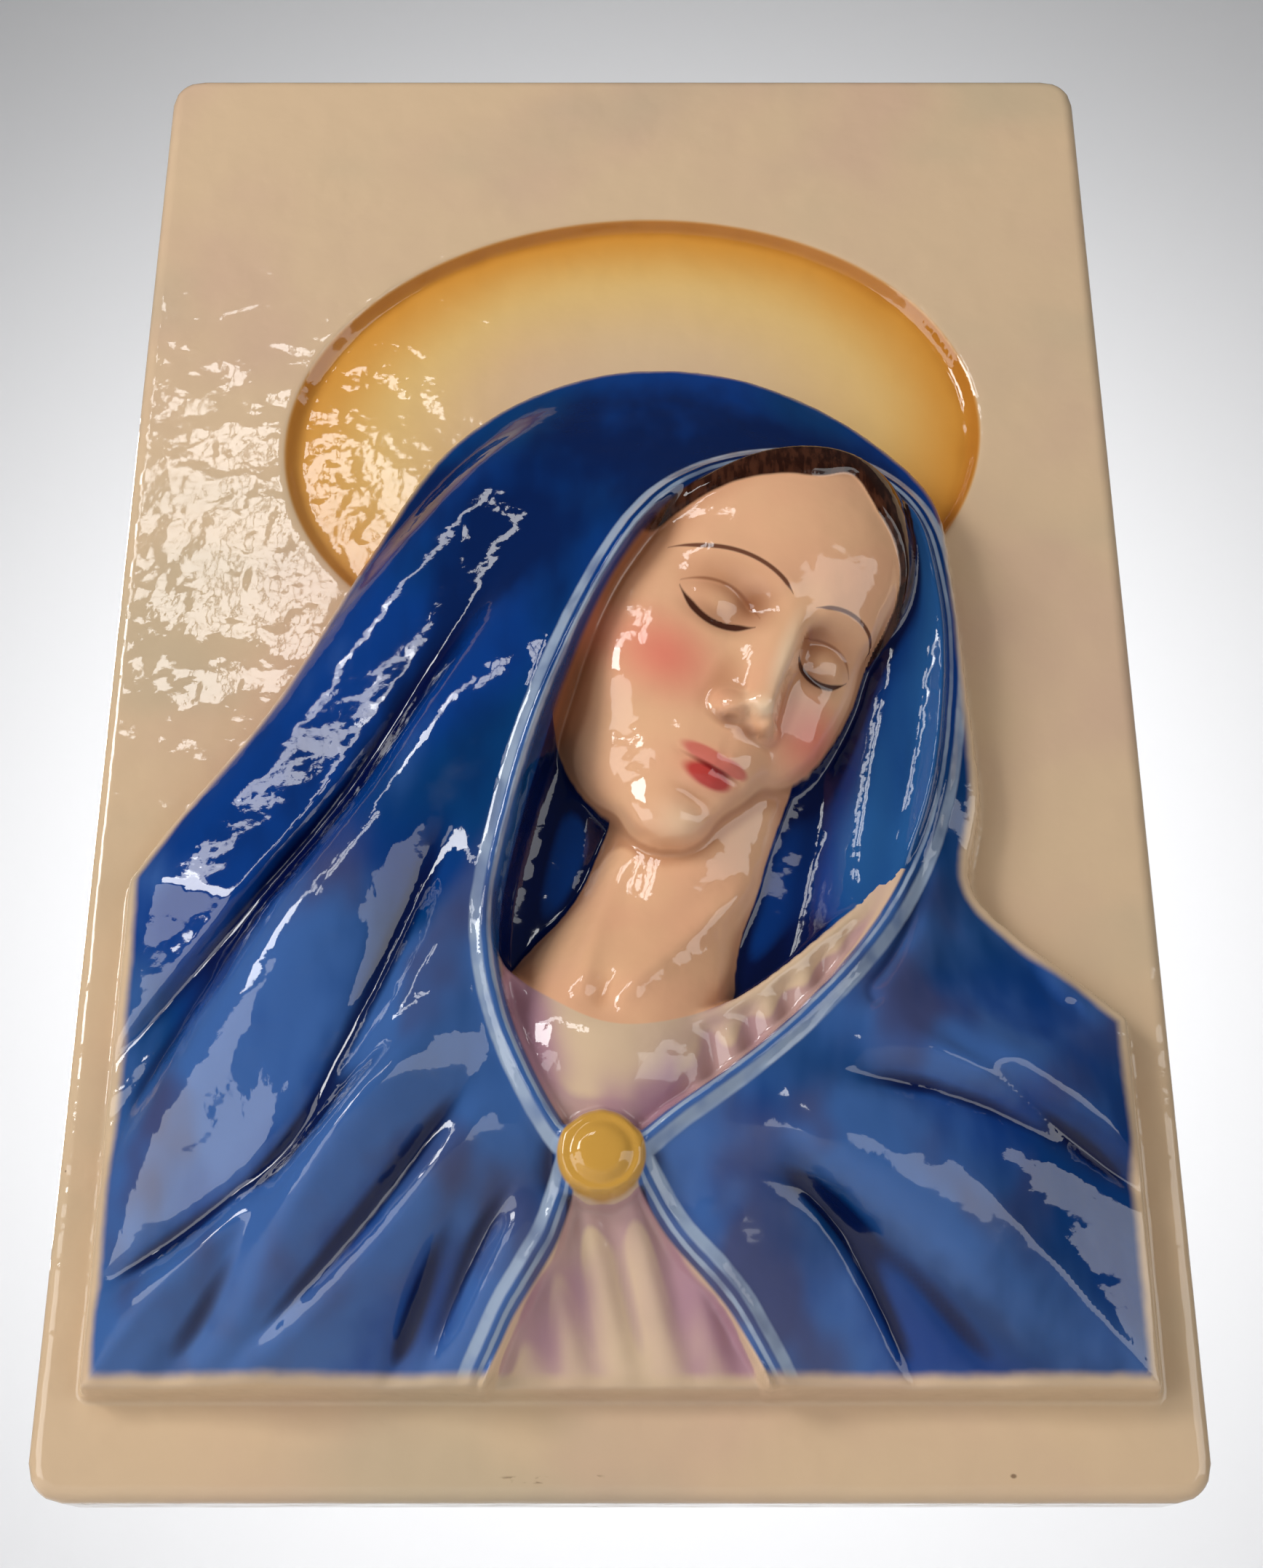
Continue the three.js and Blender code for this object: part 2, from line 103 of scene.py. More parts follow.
# Long narrow hollows between the folds: start, bend, end, width, depth.
CREASE_STEEP, CREASE_SOFT = 0.6, 1.3
CREASES = [
    ((-30, 6), (-52, -40), (-98, -84), 2.6, 2.6),
    ((-22, -96), (-36, -116), (-44, -150), 2.4, 3.4),
    ((20, -92), (42, -104), (56, -150), 2.5, 3.4),
    ((44, -70), (70, -84), (108, -112), 2.4, 2.6),
]
HEAD_MIDDLE, HEAD_YAW, HEAD_PITCH, HEAD_ROLL = (27, -8), 30, 10, 25
HEAD_SQUEEZE, HEAD_BASE = 0.6, 7.0
# The hairline's plane, in the head's frame: its place, its lean, and the parting in it.
HAIR_FORWARD, HAIR_LEAN, PARTING_DEPTH, PARTING_WIDTH = 18.5, 0.42, 5, 5
NECK_TOP, NECK_FOOT, NECK_RADII, NECK_SQUEEZE, NECK_BASE = (22, -12), (-3, -78), (15, 18), 0.85, 5.0
NECK_FLARE = 7
NECK_CORDS = [((4, -34), (-6, -52), (-6, -67)), ((30, -40), (14, -56), (0, -69))]
CORD_RISE, CORD_WIDTH = 1.3, 2.6
NECK_PIT, PIT_DEPTH, PIT_WIDTH = (-3, -69), 2.0, 4
COLLAR = [(-30, -50), (-15, -67), (0, -74.5), (18, -69), (42, -50)]
TUNIC_MIDDLE, TUNIC_HALF, TUNIC_BASE, TUNIC_RISE, TUNIC_BEHIND = -2, 48, 7, 9, 1.2
PLEAT_WIDTH, PLEAT_DEPTH = 8.0, 0.9
# The collar's band: its rise, its place inside the collar's line, and its width.
BAND_RISE, BAND_OFF, BAND_WIDTH = 0.9, 1.6, 1.3
LINING_BASE, LINING_FOLD, LINING_DEPTH = 9.0, 17.0, 1.4
# How far the lining climbs towards the hem, and over what distance.
LINING_CURL, LINING_REACH = 7.0, 8.0

# Round the opening, the cloth gives way to what lies in it over these distances, and what
# lies in it stands at most so far over the cloth.
LIP_START, LIP_END, LIP_STAND = -0.3, 0.9, 8
# The head is looked for so far round the opening. Off the head, its own frame has no place.
HEAD_MARGIN, NO_PLACE = 4, 99.0
# How wide the surroundings are that a place's hollow and ridge are measured against.
HOLLOW_SPREAD, RIDGE_SPREAD = 3.2, 8
# What the painted fields say on the sides and the back: far outside every area.
FAR_OUTSIDE = -20.0

# The front is worked out on a fine raster over the flat inside the slab's rounded edge.
CELLS = np.array([512, 768])
FLAT_HALF = np.array([SLAB_WIDTH, SLAB_HEIGHT]) / 2 - SLAB_EDGE
FLAT_CORNER = SLAB_CORNER - SLAB_EDGE
COARSEST = 8


# --------------------------------------------------------------------------------- curves

def spline(points, per_span=10, closed=False):
    """Points along a smooth curve through the given ones."""
    p = np.array(points, float)
    ends = [p[-1:], p, p[:2]] if closed else [2 * p[:1] - p[1:2], p, 2 * p[-1:] - p[-2:-1]]
    ring = np.vstack(ends)
    t = np.linspace(0, 1, per_span, endpoint=False)[:, None]
    out = []
    for a, b, c, d in zip(ring, ring[1:], ring[2:], ring[3:]):
        ka, kb, kc = (math.sqrt(np.linalg.norm(q - r)) for q, r in ((b, a), (c, b), (d, c)))
        leave = ((b - a) / ka - (c - a) / (ka + kb) + (c - b) / kb) * kb
        arrive = ((c - b) / kb - (d - b) / (kb + kc) + (d - c) / kc) * kb
        out.append((2 * t**3 - 3 * t**2 + 1) * b + (t**3 - 2 * t**2 + t) * leave
                   + (3 * t**2 - 2 * t**3) * c + (t**3 - t**2) * arrive)
    curve = np.vstack(out)
    return curve if closed else np.vstack([curve, p[-1]])


def bend(start, middle, end, steps=14):
    """A quadratic curve from start to end that leans towards middle."""
    t = np.linspace(0, 1, steps + 1)[:, None]
    return (1 - t)**2 * np.array(start) + 2 * t * (1 - t) * np.array(middle) + t * t * np.array(end)


def nearest(line, u, v):
    """The distance to a line of points, the share of it passed there, and the side."""
    best = np.full(u.shape, np.inf)
    share, side = np.zeros(u.shape), np.ones(u.shape)
    for i, (a, b) in enumerate(zip(line, line[1:])):
        along = b - a
        du, dv = u - a[0], v - a[1]
        t = np.clip((du * along[0] + dv * along[1]) / (along @ along), 0, 1)
        gap = (du - t * along[0])**2 + (dv - t * along[1])**2
        closer = gap < best
        best = np.where(closer, gap, best)
        share = np.where(closer, (i + t) / (len(line) - 1), share)
        side = np.where(closer, np.sign(along[0] * dv - along[1] * du), side)
    return np.sqrt(best), share, side


def depth_in(loop, u, v):
    """How deep each point lies inside a closed loop, negative outside it."""
    inside = np.zeros(u.shape, bool)
    for a, b in zip(loop, np.roll(loop, 1, axis=0)):
        if a[1] != b[1]:
            crosses = (a[1] > v) != (b[1] > v)
            inside ^= crosses & (u < a[0] + (v - a[1]) * (b[0] - a[0]) / (b[1] - a[1]))
    distance = nearest(np.vstack([loop, loop[:1]]), u, v)[0]
    return np.where(inside, distance, -distance)


def smooth_max(a, b, k):
    t = np.maximum(k - np.abs(a - b), 0) / k
    return np.maximum(a, b) + t * t * k / 4


def smooth_min(a, b, k):
    return -smooth_max(-a, -b, k)


def ease(x, low, high):
    t = np.clip((x - low) / (high - low), 0, 1)
    return t * t * (3 - 2 * t)


def blurred(raster, spread):
    """The raster softened by a bell curve of that many cells."""
    reach = int(math.ceil(3 * spread))
    bell = np.exp(-0.5 * (np.arange(-reach, reach + 1) / spread)**2)
    bell /= bell.sum()
    for axis in (0, 1):
        edges = [(reach, reach) if i == axis else (0, 0) for i in (0, 1)]
        padded = np.pad(raster, edges, mode="edge")
        raster = sum(w * np.take(padded, range(i, i + raster.shape[axis]), axis)
                     for i, w in enumerate(bell))
    return raster


# ----------------------------------------------------------------------------------- head

def ellipsoid(p, middle, radii):
    q = (p - np.array(middle)) / np.array(radii)
    near = np.linalg.norm(q, axis=-1)
    return near * (near - 1) / np.maximum(np.linalg.norm(q / np.array(radii), axis=-1), 1e-6)


def rod(p, a, b, ra, rb):
    """The distance to a rod from a to b with round ends, thick ra and rb."""
    a, b = np.array(a, float), np.array(b, float)
    t = np.clip((p - a) @ (b - a) / ((b - a) @ (b - a)), 0, 1)
    return np.linalg.norm(p - a - t[..., None] * (b - a), axis=-1) - ra - (rb - ra) * t


def head_distance(p):
    """A plain face on even proportions, in the head's own frame: x across, y up from the eye
    line, z forward, 92 from chin to crown. Its right and left halves are alike."""
    half = p.copy()
    half[..., 0] = np.abs(half[..., 0])

    def join(d, part, k):
        return smooth_min(d, part, k)

    def carve(d, part, k):
        return smooth_max(d, -part, k)

    d = ellipsoid(p, (0, 11, -1), (31, 36, 37))
    d = join(d, ellipsoid(p, (0, 17, 10), (25, 24, 27.5)), 8)              # forehead
    d = join(d, ellipsoid(p, (0, -9, 12), (25.5, 35, 26)), 8)              # face
    d = join(d, ellipsoid(half, (18.5, -7, 16), (9, 11, 13)), 8)           # cheekbones
    d = join(d, ellipsoid(half, (12.5, -16.5, 25), (10.5, 11.5, 11)), 7)   # cheeks
    d = join(d, ellipsoid(p, (0, -31, 22.5), (14.5, 13.5, 18.5)), 7)       # jaw
    d = join(d, ellipsoid(p, (0, -39.6, 34), (7.4, 6.4, 7.6)), 5)          # chin
    d = join(d, ellipsoid(p, (0, -25.5, 33), (10.5, 8.5, 9.2)), 5)         # round the mouth
    d = join(d, rod(half, (5, 8.2, 35.2), (17, 9, 30), 1.5, 1.5), 6)       # brows
    d = carve(d, ellipsoid(half, (12, 1.6, 39.6), (8, 5, 6.4)), 5.5)       # eye sockets
    d = join(d, ellipsoid(half, (12.2, -0.6, 28.2), (6.7, 6.7, 6.7)), 1.6)  # lowered lids
    d = join(d, ellipsoid(p, (0, -8.5, 34), (5.2, 14.5, 8.6)), 4)          # nose
    d = join(d, rod(p, (0, 7.5, 35.6), (0, -13.2, 45.6), 2.2, 2.7), 3)
    d = join(d, ellipsoid(half, (3.6, -16.4, 41.4), (2.6, 2.5, 4.2)), 2.2)
    d = carve(d, ellipsoid(half, (2.2, -18.9, 43.4), (1.0, 1.2, 1.8)), 0.9)
    d = carve(d, ellipsoid(p, (0, -22.8, 43.8), (1.0, 2.4, 1.2)), 1.4)     # above the lips
    d = join(d, rod(half, (1.2, -26.2, 40.9), (7.6, -28.2, 37.8), 1.9, 0.9), 1.8)  # lips
    d = join(d, rod(half, (1, -30.4, 40.0), (6.4, -29.6, 37.8), 2.2, 1.1), 1.8)
    d = carve(d, rod(half, (0, -28.5, 44), (7.4, -28.5, 39.8), 0.5, 0.3), 1)
    d = carve(d, ellipsoid(p, (0, -34.8, 43), (5.5, 1.6, 2.6)), 3)         # under the lips
    return eyelids(half, d)


def eyelids(half, d):
    """A crease over each lid, and the line where the lids meet."""
    across = half[..., 0] - 12.2
    crease = np.hypot(half[..., 1] - 3.4 + 0.05 * across**2, 0.3 * (half[..., 2] - 33.8)) - 0.25
    crease = np.where(np.abs(across) < 6.6, crease, 9.0)
    parting = np.hypot(half[..., 1] + 3.8 - 0.05 * across**2, 0.3 * (half[..., 2] - 34.2)) - 0.2
    parting = np.where(np.abs(across) < 6.2, parting, 9.0)
    return smooth_max(smooth_max(d, -crease, 1.0), -parting, 0.8)


def hair_distance(p):
    """A smooth cap of hair, behind a hairline that runs down in front of the ears."""
    cap = smooth_min(ellipsoid(p, (0, 11, -1), (32.5, 38, 38.6)),
                     ellipsoid(p, (0, 17, 10), (26.8, 26, 29)), 8)
    parting = PARTING_DEPTH * np.exp(-(p[..., 0] / PARTING_WIDTH)**2)
    return np.maximum(cap, p[..., 2] - HAIR_FORWARD - HAIR_LEAN * p[..., 1] + parting)


def head_turn():
    turned = (Matrix.Rotation(math.radians(-HEAD_ROLL), 3, "Z")
              @ Matrix.Rotation(math.radians(HEAD_YAW), 3, "Y")
              @ Matrix.Rotation(math.radians(HEAD_PITCH), 3, "X"))
    return np.array(turned)


def head_relief(u, v):
    """Steps down onto the head. Gives its height, the point met in the head's own frame, and
    how far in front of the hairline that point lies."""
    turn = head_turn()
    shift = np.array(HEAD_MIDDLE) - (turn @ np.array([0, -6, 40.0]))[:2]
    place = np.stack([u - shift[0], v - shift[1], np.full(u.shape, 58.0)], -1)
    live = np.ones(u.shape, bool)
    for _ in range(70):
        p = place[live] @ turn
        step = np.minimum(head_distance(p), hair_distance(p))
        place[live, 2] -= np.maximum(0.85 * step, 0.01)
        going = (step > 0.02) & (place[live, 2] > -6)
        live[live] = going
        if not live.any():
            break
    p = place @ turn
    skin = hair_distance(p) - head_distance(p)
    height = np.where(place[..., 2] > -5.5, HEAD_BASE + HEAD_SQUEEZE * place[..., 2], -30)
    return height, p, skin


# --------------------------------------------------------------------------------- relief

def raster_places(step=1):
    """The u and v of the raster's crossings, or of every step-th one."""
    across = np.linspace(-FLAT_HALF[0], FLAT_HALF[0], CELLS[0] // step + 1)
    up = np.linspace(-FLAT_HALF[1], FLAT_HALF[1], CELLS[1] // step + 1)
    u, v = np.meshgrid(across, up)
    return corner_rounded(u, v, FLAT_HALF, FLAT_CORNER)


def corner_rounded(u, v, half, radius):
    """Draws the corners of a rectangle in, so that its edge becomes a rounded rectangle."""
    a = np.maximum(np.abs(u) - half[0] + radius, 0)
    b = np.maximum(np.abs(v) - half[1] + radius, 0)
    pull = np.maximum(a, b) / np.maximum(np.hypot(a, b), 1e-9)
    return u + np.sign(u) * a * (pull - 1), v + np.sign(v) * b * (pull - 1)


def finer(raster):
    """A raster of every second crossing, filled in between."""
    rows = np.empty((raster.shape[0] * 2 - 1, raster.shape[1]))
    rows[::2] = raster
    rows[1::2] = (raster[1:] + raster[:-1]) / 2
    full = np.empty((rows.shape[0], rows.shape[1] * 2 - 1))
    full[:, ::2] = rows
    full[:, 1::2] = (rows[:, 1:] + rows[:, :-1]) / 2
    return full


def fold_heights(u, v):
    """Each fold is steep on one side, with a small valley at its foot, and soft on the other."""
    total = np.zeros(u.shape)
    for count, first, last, width, height in FOLD_FANS:
        for t in np.linspace(0, 1, count):
            line = bend(*((1 - t) * np.array(first) + t * np.array(last)))
            distance, share, side = nearest(line, u, v)
            steep = side < 0
            ridge = np.exp(-(distance / (width * np.where(steep, FOLD_STEEP, FOLD_SOFT)))**2)
            off = (distance / width - VALLEY_OFF) / VALLEY_WIDTH
            valley = np.where(steep, VALLEY_DEPTH * np.exp(-off**2), 0)
            total += height * ease(share, 0, 0.3) * (ridge - valley)
    for start, middle, end, width, depth in CREASES:
        distance, share, side = nearest(bend(start, middle, end), u, v)
        spread = width * np.where(side < 0, CREASE_STEEP, CREASE_SOFT)
        total -= depth * ease(share, 0, 0.6) * np.exp(-(distance / spread)**2)
    return total


def mass_heights(u, v):
    """The figure's broad swelling, without its edge or folds."""
    top = np.zeros(u.shape)
    for (mu, mv), (across, up), height in MASSES:
        q = np.maximum(1 - ((u - mu) / across)**2 - ((v - mv) / up)**2, 0)
        top = smooth_max(top, height * q**0.7, ROUNDING)
    return top


def halo_depth(u, v):
    """How far inside the halo's rim each point lies, in millimetres."""
    a = math.radians(HALO_TILT)
    du, dv = u - HALO_MIDDLE[0], v - HALO_MIDDLE[1]
    along = (du * math.cos(a) + dv * math.sin(a)) / HALO_HALF[0]
    across = (dv * math.cos(a) - du * math.sin(a)) / HALO_HALF[1]
    return (1 - np.hypot(along, across)) * sum(HALO_HALF) / 2


def neck_heights(u, v):
    """A round trunk that flares to the shoulders, with two cords and the pit between them."""
    line = np.array([NECK_TOP, NECK_FOOT], float)
    distance, share, _ = nearest(line, u, v)
    radius = NECK_RADII[0] + (NECK_RADII[1] - NECK_RADII[0]) * share
    radius = radius + NECK_FLARE * ease(share, 0.55, 1)
    trunk = NECK_BASE + NECK_SQUEEZE * np.sqrt(np.maximum(radius**2 - distance**2, 0))
    for cord in NECK_CORDS:
        off, along, _ = nearest(bend(*cord), u, v)
        trunk = trunk + CORD_RISE * ease(along, 0, 0.3) * np.exp(-(off / CORD_WIDTH)**2)
    off = np.hypot(u - NECK_PIT[0], v - NECK_PIT[1])
    return np.maximum(trunk - PIT_DEPTH * np.exp(-(off / PIT_WIDTH)**2), NECK_BASE)


def lining_heights(u, v, gap):
    """The veil's inside in soft folds, climbing towards the hem."""
    folds = LINING_DEPTH * np.cos(2 * math.pi * (u - 0.2 * v) / LINING_FOLD)
    return LINING_BASE + folds + LINING_CURL * np.exp(-np.maximum(gap, 0) / LINING_REACH)


def dress_heights(u, v, tunic, figure, edge, climb):
    """The pleated tunic with the collar's band along its top."""
    chest = np.sqrt(np.maximum(1 - ((u - TUNIC_MIDDLE) / TUNIC_HALF)**2, 0))
    pleats = PLEAT_DEPTH * np.cos(2 * math.pi * (u + 0.25 * v) / PLEAT_WIDTH) * ease(tunic, 1.5, 6)
    body = smooth_min(TUNIC_BASE + TUNIC_RISE * chest, CLOTH_SLOPE * figure, ROUNDING)
    band = BAND_RISE * np.exp(-((tunic - BAND_OFF) / BAND_WIDTH)**2)
    return edge - TUNIC_BEHIND + body + pleats * climb + band


def with_clasp(body, clasp, cloth):
    """The body with the domed clasp and its ring, seated at the cloth's height there."""
    seat = cloth[np.unravel_index(np.argmax(clasp), clasp.shape)]
    dome = np.sqrt(np.maximum(1 - (1 - clasp / CLASP_RADIUS)**2, 0))
    ring = np.exp(-((CLASP_RADIUS - clasp - CLASP_RING) / RING_WIDTH)**2)
    button = seat + CLASP_RISE - CLASP_CROWN + CLASP_DOME * dome - RING_DEPTH * ring
    return np.where(clasp > 0, np.maximum(body, button), body)


def relief(form):
    """The front's height on the raster, its fields, and each place in the head's own frame.
    A field tells how far inside its own area a place is, in millimetres, but hollow and
    ridge tell how far it stands over what surrounds it, and head and neck are 1 on them and
    -1 beside them."""
    cu, cv = raster_places(2)
    outline = np.vstack([spline(VEIL_TOP), [(RIGHT, FOOT), (LEFT, FOOT)]])
    figure, opening, lap = (finer(depth_in(loop, cu, cv)) for loop in (
        outline, spline(OPENING, closed=True), spline(LAP, closed=True)))
    masses, folds = finer(mass_heights(cu, cv)), finer(fold_heights(cu, cv))
    collar_gap, _, collar_side = nearest(spline(COLLAR), cu, cv)
    tunic = finer(np.where(collar_side < 0, collar_gap, -collar_gap))
    u, v = raster_places()
    clasp = CLASP_RADIUS - np.hypot(u - CLASP_MIDDLE[0], v - CLASP_MIDDLE[1])
    halo = halo_depth(u, v)

    gap = np.maximum(opening, lap)
    edge = EDGE_LOW + (EDGE_HOOD - EDGE_LOW) * ease(v, *EDGE_RISES)
    climb = 1 - np.exp(-np.maximum(figure, 0) / FOLD_CLIMB)
    cloth = edge + smooth_min(masses, CLOTH_SLOPE * figure, ROUNDING) + folds * climb
    cloth = cloth + form.hem_rise * np.exp(-((gap + HEM_OFF) / HEM_WIDTH)**2)
    lining, neck = lining_heights(u, v, gap), neck_heights(u, v)
    dress = dress_heights(u, v, tunic, figure, edge, climb)

    near = opening > -HEAD_MARGIN
    head, skin = np.full(u.shape, -30.0), np.full(u.shape, -9.0)
    points = np.full(u.shape + (3,), NO_PLACE)
    head[near], points[near], skin[near] = head_relief(u[near], v[near])
    on_head = np.where(head > np.maximum(neck, np.where(tunic > 0, dress, -9)), 1.0, -1.0)

    bust = smooth_max(smooth_max(lining, neck, 1.0), head, 1.2)
    bust = np.where(tunic > 0, smooth_max(bust, dress, 1.0), bust)
    lip = ease(gap, LIP_START, LIP_END)
    body = cloth + (np.minimum(bust, cloth + LIP_STAND) - cloth) * lip
    body = np.where(gap > LIP_END, bust, body)
    body = np.where(lap > LIP_END, dress, body)
    body = with_clasp(body, clasp, cloth)

    slab = -form.halo_depth * ease(halo, 0, HALO_SLOPE)
    cell = 2 * FLAT_HALF[0] / CELLS[0]
    height = blurred(np.where(figure > 0, body, slab), form.softness / cell)
    fade = ease(FLAT_HALF[0] - np.abs(u), 0, 1.5) * ease(FLAT_HALF[1] - np.abs(v), 0, 1.5)
    fields = {
        "figure": figure,
        "gap": gap,
        "lap": lap,
        "tunic": tunic,
        "halo": halo,
        "clasp": clasp,
        "hollow": (height - blurred(height, HOLLOW_SPREAD / cell)) * fade,
        "ridge": (height - blurred(height, RIDGE_SPREAD / cell)) * fade,
        "hair": np.where(near, -skin, -9),
        "head": blurred(np.where(near, on_head, -1), 1.5),
        "neck": blurred(np.where(neck > lining + 0.6, 1.0, -1.0), 1.5),
    }
    return u, v, height * fade, fields, points


# ------------------------------------------------------------------------------- the mesh

def cell_sizes(surfaces):
    """How large a square cell may be at each place of the raster, in raster cells. surfaces
    pairs each raster with how far a flat cell may stray from it."""
    size = np.full(tuple(CELLS[::-1]), COARSEST)
    for block in (8, 4, 2):
        stray = np.zeros(CELLS[::-1] // block)
        t = np.arange(block + 1) / block
        for raster, allowed in surfaces:
            a, b = raster[:-1:block, :-1:block], raster[:-1:block, block::block]
            c, d = raster[block::block, :-1:block], raster[block::block, block::block]
            for i, s in enumerate(t):
                for j, r in enumerate(t):
                    flat = (1 - s) * ((1 - r) * a + r * b) + s * ((1 - r) * c + r * d)
                    real = raster[i:i + (stray.shape[0] - 1) * block + 1:block,
                                  j:j + (stray.shape[1] - 1) * block + 1:block]
                    stray = np.maximum(stray, np.abs(flat - real) / allowed)
        split = np.kron(stray > 1, np.ones((block, block), bool))
        if block == COARSEST:
            split[:block, :block] = split[:block, -block:] = True
            split[-block:, :block] = split[-block:, -block:] = True
        size = np.where(split & (size == block), block // 2, size)
    return balanced(size)


def balanced(size):
    """Splits cells until no cell has a neighbour under half its size."""
    while True:
        padded = np.pad(size, 1, mode="edge")
        least = np.min([padded[i:i + size.shape[0], j:j + size.shape[1]]
                        for i in range(3) for j in range(3)], axis=0)
        changed = False
        for block in (8, 4):
            rows, columns = CELLS[::-1] // block
            lowest = least.reshape(rows, block, columns, block).min((1, 3))
            big = size[::block, ::block] == block
            split = np.kron(big & (lowest < block // 2), np.ones((block, block), bool))
            changed |= split.any()
            size = np.where(split, block // 2, size)
        if not changed:
            return size


def front_faces(size):
    """The faces over the raster as lists of crossings: a square, or a fan where a neighbour
    is finer."""
    width = CELLS[0] + 1
    squares, fans = [], []
    padded = np.pad(size, 1, mode="constant", constant_values=99)
    for block in (1, 2, 4, 8):
        rows, columns = np.nonzero(size == block)
        keep = (rows % block == 0) & (columns % block == 0)
        rows, columns = rows[keep], columns[keep]
        corner = rows * width + columns
        ring = [(corner, padded[rows, columns + 1]),
                (corner + block, padded[rows + 1, columns + block + 1]),
                (corner + block * width + block, padded[rows + block + 1, columns + 1]),
                (corner + block * width, padded[rows + 1, columns])]
        finer_side = [beside < block for _, beside in ring]
        plain = ~np.any(finer_side, axis=0)
        squares += np.stack([c[plain] for c, _ in ring], -1).tolist()
        for k in np.nonzero(~plain)[0]:
            round_it = []
            for side in range(4):
                start, end = int(ring[side][0][k]), int(ring[(side + 1) % 4][0][k])
                round_it += [start, (start + end) // 2] if finer_side[side][k] else [start]
            middle = int(corner[k]) + (block // 2) * (width + 1)
            fans += [[middle, a, b] for a, b in zip(round_it, round_it[1:] + round_it[:1])]
    return squares + fans


def edge_order(used):
    """The crossings used along the raster's edge, in order round it from the lower left."""
    columns, rows = int(CELLS[0]), int(CELLS[1])
    width = columns + 1
    walk = list(range(columns))
    walk += [r * width + columns for r in range(rows)]
    walk += [rows * width + c for c in range(columns, 0, -1)]
    walk += [r * width for r in range(rows, 0, -1)]
    return [crossing for crossing in walk if used[crossing]]


def side_rings(flat):
    """Rings of points from the front's edge round to the back and into the hanging hole:
    for each ring its points, their normals and whether the face before it is glazed. flat
    holds the edge's points as shares of the flat's half size, from -1 to 1."""
    def ring(inset, radius):
        half = FLAT_HALF + SLAB_EDGE - inset
        return np.stack(corner_rounded(flat[:, 0] * half[0], flat[:, 1] * half[1], half, radius), -1)

    def outward(points):
        along = np.roll(points, -1, axis=0) - np.roll(points, 1, axis=0)
        normal = np.stack([along[:, 1], -along[:, 0]], -1)
        return normal / np.maximum(np.linalg.norm(normal, axis=1)[:, None], 1e-9)

    rings = []

    def add(points, height, lean, glazed=True, facing=None):
        side = outward(points) if facing is None else facing
        normal = np.hstack([side * math.cos(lean), np.full((len(points), 1), math.sin(lean))])
        rings.append((np.hstack([points, np.full((len(points), 1), height)]), normal, glazed))

    for turn in np.radians(np.linspace(0, 90, 7)[1:]):
        inset = SLAB_EDGE * (1 - math.sin(turn))
        add(ring(inset, SLAB_CORNER - inset), SLAB_EDGE * (math.cos(turn) - 1), math.pi / 2 - turn)
    for turn in np.radians(np.linspace(0, 90, 5)):
        inset = SLAB_EDGE * (1 - math.cos(turn))
        drop = SLAB_THICKNESS - SLAB_EDGE * (1 - math.sin(turn))
        add(ring(inset, SLAB_CORNER - inset), -drop, -turn)
    down, slanting = -math.pi / 2, -math.pi / 4
    step, bevel, drawn = 0.5, 0.2, 0.001
    rim = ring(BACK_RIM - step, BACK_CORNER)
    floor = ring(BACK_RIM + step, BACK_CORNER)
    inward = -outward(rim)
    back, bed = -SLAB_THICKNESS, BACK_RECESS - SLAB_THICKNESS
    add(rim, back, down, False)
    add(rim * (1 - drawn), back + bevel, slanting, False, inward)
    add(floor * (1 + drawn), bed - bevel, slanting, False, inward)
    add(floor, bed, down, False)
    spoke = floor - np.array([0, HOLE_UP])
    spoke /= np.linalg.norm(spoke, axis=1)[:, None]
    hole = np.array([0, HOLE_UP]) + spoke * HOLE_RADIUS
    end = HOLE_DEPTH - SLAB_THICKNESS
    lip = 0.6
    add(hole + spoke * lip, bed, down, False)
    add(hole, bed + lip, 0.0, False, -spoke)
    add(hole, end - lip, 0.0, False, -spoke)
    add(hole - spoke * lip, end, down, False)
    return rings


